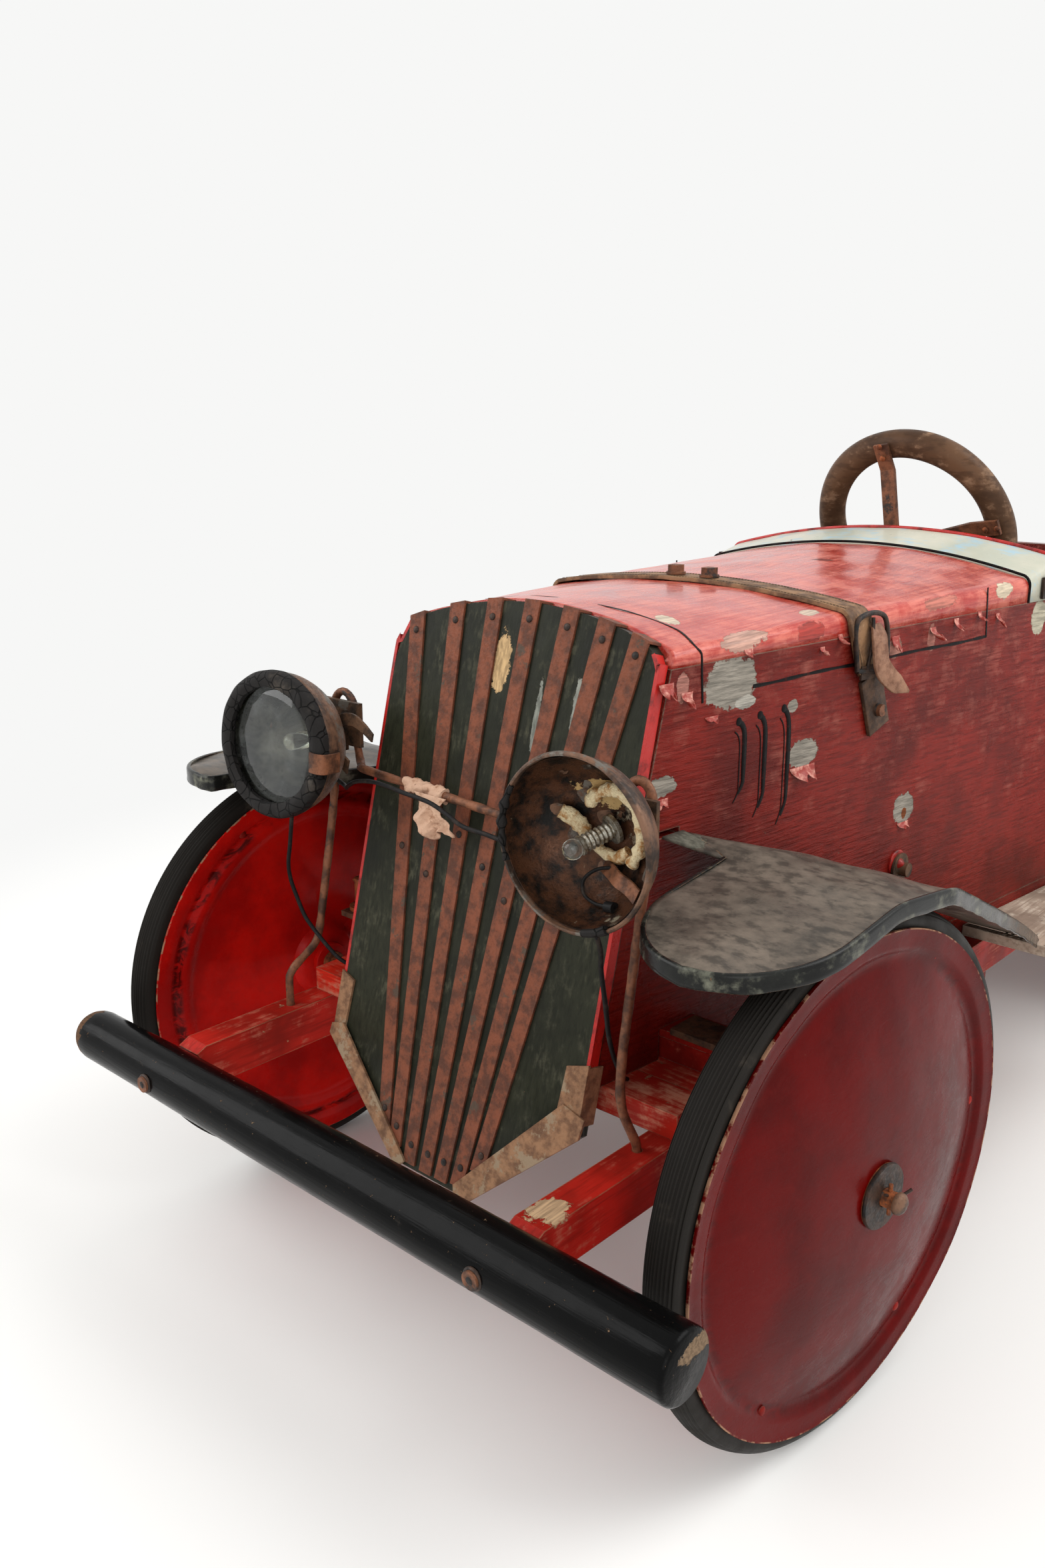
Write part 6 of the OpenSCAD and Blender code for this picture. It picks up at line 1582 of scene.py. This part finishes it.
@dataclass
class RunningGear(Assembly):
    """Ends of the front stub axles, shafts, rods and pedals."""
    DRESSED = ((SHAFT_RUST, "stub_axle_right stub_axle_left rear_axle"), (BARE_BOARD, "pedal_right pedal_left"),
               (DARK_IRON, "steering_brackets tie_rod pedal_crank connecting_rod_right connecting_rod_left"))
    washer: tuple = ((5.4, 25.8), (18.3, 25.8), (18.6, 26.7), (18.2, 28), (5.4, 28))
    cap: tuple = ((5.9, 35.2), (6.2, 36.2), (5.8, 38.0), (4.4, 39.4), (2.4, 40.1), (0, 40.3), (0, 35.2))
    cotter: tuple = ((-150, 13, 2.5), (-118, 15, 4), (30, 8, 0.5))

    def build(self) -> None:
        """Washer, domed end and cotter wires of both sides; they ride on the stub axle, not on the wheel."""
        for hand in ("right", "left"):
            body, spindle = BODIES[f"stub_axle_{hand}"], SPINDLES["front", hand]
            Form().lathe(spindle, self.washer, 48, True, 0.2, 14, 3).piece(f"axle_washer_{hand}", WASHER_BLACK, body)
            Form().lathe(spindle, self.cap, 28).piece(f"axle_cap_{hand}", LAMP_BROWN, body)
            wires = Form()
            for turn, reach, lean in self.cotter:
                r = np.linspace(4.6, reach, 9)
                wires.tube(spindle.at(r, 31 + lean * (r / reach) ** 2, np.radians(turn + 2.2 * r)), 0.9, 8)
            wires.piece(f"cotter_{hand}", WASHER_BLACK, body)


@dataclass
class Splinters(Assembly):
    """Torn grain at the front end of the right running board."""
    count: int = 16

    def build(self) -> None:
        """Thin wedges along the grain, each a band that narrows to nothing."""
        draw = np.random.default_rng(21)
        form = Form()
        for _ in range(self.count):
            x = draw.uniform(152, 232)
            edge_y = 316 + (238 - x) * 22 / 38 if x > 200 else 338
            start = np.array([x, edge_y + 1.5, 173.7 + draw.uniform(-4, 0)])
            reach = draw.uniform(6, 22)
            way = np.array([draw.uniform(-1, 1), reach, draw.uniform(0.5, 1.5)])
            path = start + np.linspace(0, 1, 6)[:, None] * way
            path[:, 2] = np.maximum(path[:, 2], 173.6)
            form.band(path, np.array([1.0, 0, 0]), np.array([0, 0, 1.0]), np.linspace(draw.uniform(2, 5), 0.6, 6), 0.6)
        form.piece("step_splinters", STEP_GREY)


@dataclass
class Studio:
    """Pale floor that melts into the backdrop, soft lights and the camera at the photograph's place."""
    backdrop: float = 0.93
    ambient: float = 0.86
    lens: float = 29.74
    place: Point = (0.5171, -0.9713, 0.5460)
    tilt: float = 74.29
    swing: float = 42.76

    @property
    def white(self) -> tuple[float, float, float, float]:
        """Linear colour of the backdrop, a touch warmer than grey."""
        return self.backdrop, self.backdrop, self.backdrop * 0.992, 1

    def floor(self) -> None:
        """Round floor: rings of growing radius; far out it takes the backdrop's own brightness."""
        net = Net(bpy.data.materials.new("studio_floor"))
        centre = net.add("ShaderNodeVectorMath", operation="LENGTH")
        net.feed(centre.inputs[0], net.place)
        far = Value(net, centre.outputs["Value"]).step(0.45, 1.2)
        glow = net.add("ShaderNodeEmission")
        glow.inputs["Color"].default_value = self.white
        net.finish((245, 244, 241), 0.9, specular=0.1)
        blend = net.add("ShaderNodeMixShader")
        net.feed(blend.inputs[0], far * net.seen())
        for socket, node in zip(blend.inputs[1:], (net.shader, glow)):
            net.tree.links.new(node.outputs[0], socket)
        net.tree.links.new(blend.outputs[0], net.tree.nodes["Material Output"].inputs[0])
        turn = full_turn(64)
        r = np.array([0.0, 0.8, 1.6, 3, 6, 14, 40])[:, None]
        form = Form().grid(np.stack([r * np.cos(turn), r * np.sin(turn), 0 * r * turn - 0.0004], -1), close_cols=True)
        mesh = bpy.data.meshes.new("floor")
        mesh.from_pydata(form.points[0].tolist(), [], form.faces[0].tolist())
        mesh.materials.append(net.owner)
        floor = bpy.data.objects.new("floor", mesh)
        bpy.context.scene.collection.objects.link(floor)

    def sky(self) -> None:
        """World: plain light for the object, backdrop white for camera, glossy and transmission rays."""
        net = Net(bpy.data.worlds.new("studio"))
        bpy.context.scene.world = net.owner
        tone = net.add("ShaderNodeMix", data_type="RGBA")
        net.feed(tone.inputs[0], net.seen())
        tone.inputs[6].default_value = (self.ambient, self.ambient, self.ambient, 1)
        tone.inputs[7].default_value = self.white
        net.tree.links.new(tone.outputs[2], net.tree.nodes["Background"].inputs["Color"])

    def light(self, name: str, place: Point, aim: Point, size: float, watts: float) -> None:
        """Square soft light at a place, aimed at a point.

        Args:
            name: of the light.
            place: where it hangs, in metres.
            aim: where it looks.
            size: of its side.
            watts: its power.
        """
        data = bpy.data.lights.new(name, "AREA")
        data.size = size
        data.energy = watts
        lamp = bpy.data.objects.new(name, data)
        z = unit(np.array(place) - np.array(aim))
        x = unit(np.cross([0, 0, 1.0], z))
        y = np.cross(z, x)
        lamp.matrix_world = Matrix([[x[k], y[k], z[k], place[k]] for k in range(3)] + [[0, 0, 0, 1]])
        bpy.context.scene.collection.objects.link(lamp)

    def camera(self) -> None:
        """Camera at the photograph's place, turn and lens."""
        data = bpy.data.cameras.new("camera")
        data.lens = self.lens
        data.sensor_width = 36.0
        data.sensor_fit = "AUTO"
        data.clip_start = 0.02
        camera = bpy.data.objects.new("camera", data)
        camera.location = self.place
        camera.rotation_euler = (math.radians(self.tilt), 0, math.radians(self.swing))
        bpy.context.scene.collection.objects.link(camera)
        bpy.context.scene.camera = camera

    def build(self) -> None:
        """Camera, world, floor and lights."""
        bpy.context.scene.view_settings.view_transform = "Standard"
        self.camera()
        self.sky()
        self.floor()
        self.light("key", (1.5, 0.7, 2.2), (0, -0.2, 0.3), 1.8, 40)
        self.light("fill", (-1.6, -1.8, 1.6), (0, -0.4, 0.0), 1.8, 26)
        self.light("front", (1.4, -2.0, 1.1), (0, -0.3, 0.25), 1.2, 7)


def main() -> None:
    """Builds the sub-assemblies in order."""
    logging.basicConfig(level=logging.INFO, format="%(name)s %(message)s")
    Studio().build()
    body, lamps = CarBody(), LampFrame()
    lamps.wires()
    notch = ((-104, 184), (-72, 184), (-46, 150), (-28, 148), (0, 142))
    parts = [
        body, Grille(), Wheel("front", "right", 5), Wheel("front", "left", 15), Wheel("rear", "right", 25),
        Wheel("rear", "left", 35), Mudguard(Side.RIGHT, 0.12), Mudguard(Side.LEFT, -0.06, notch),
        RearGuard(Side.RIGHT), RearGuard(Side.LEFT), Bumper(), lamps, Lamp(Side.RIGHT, (118, -103, 341.5), 3, 0),
        Lamp(Side.LEFT, (-138.5, -90, 348), 5, 4.5), HoodStrap(body), SteeringWheel(), RunningGear(),
        Splinters()]
    for part in parts:
        part.build()
        part.dress()
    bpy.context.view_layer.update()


if __name__ == "__main__":
    main()
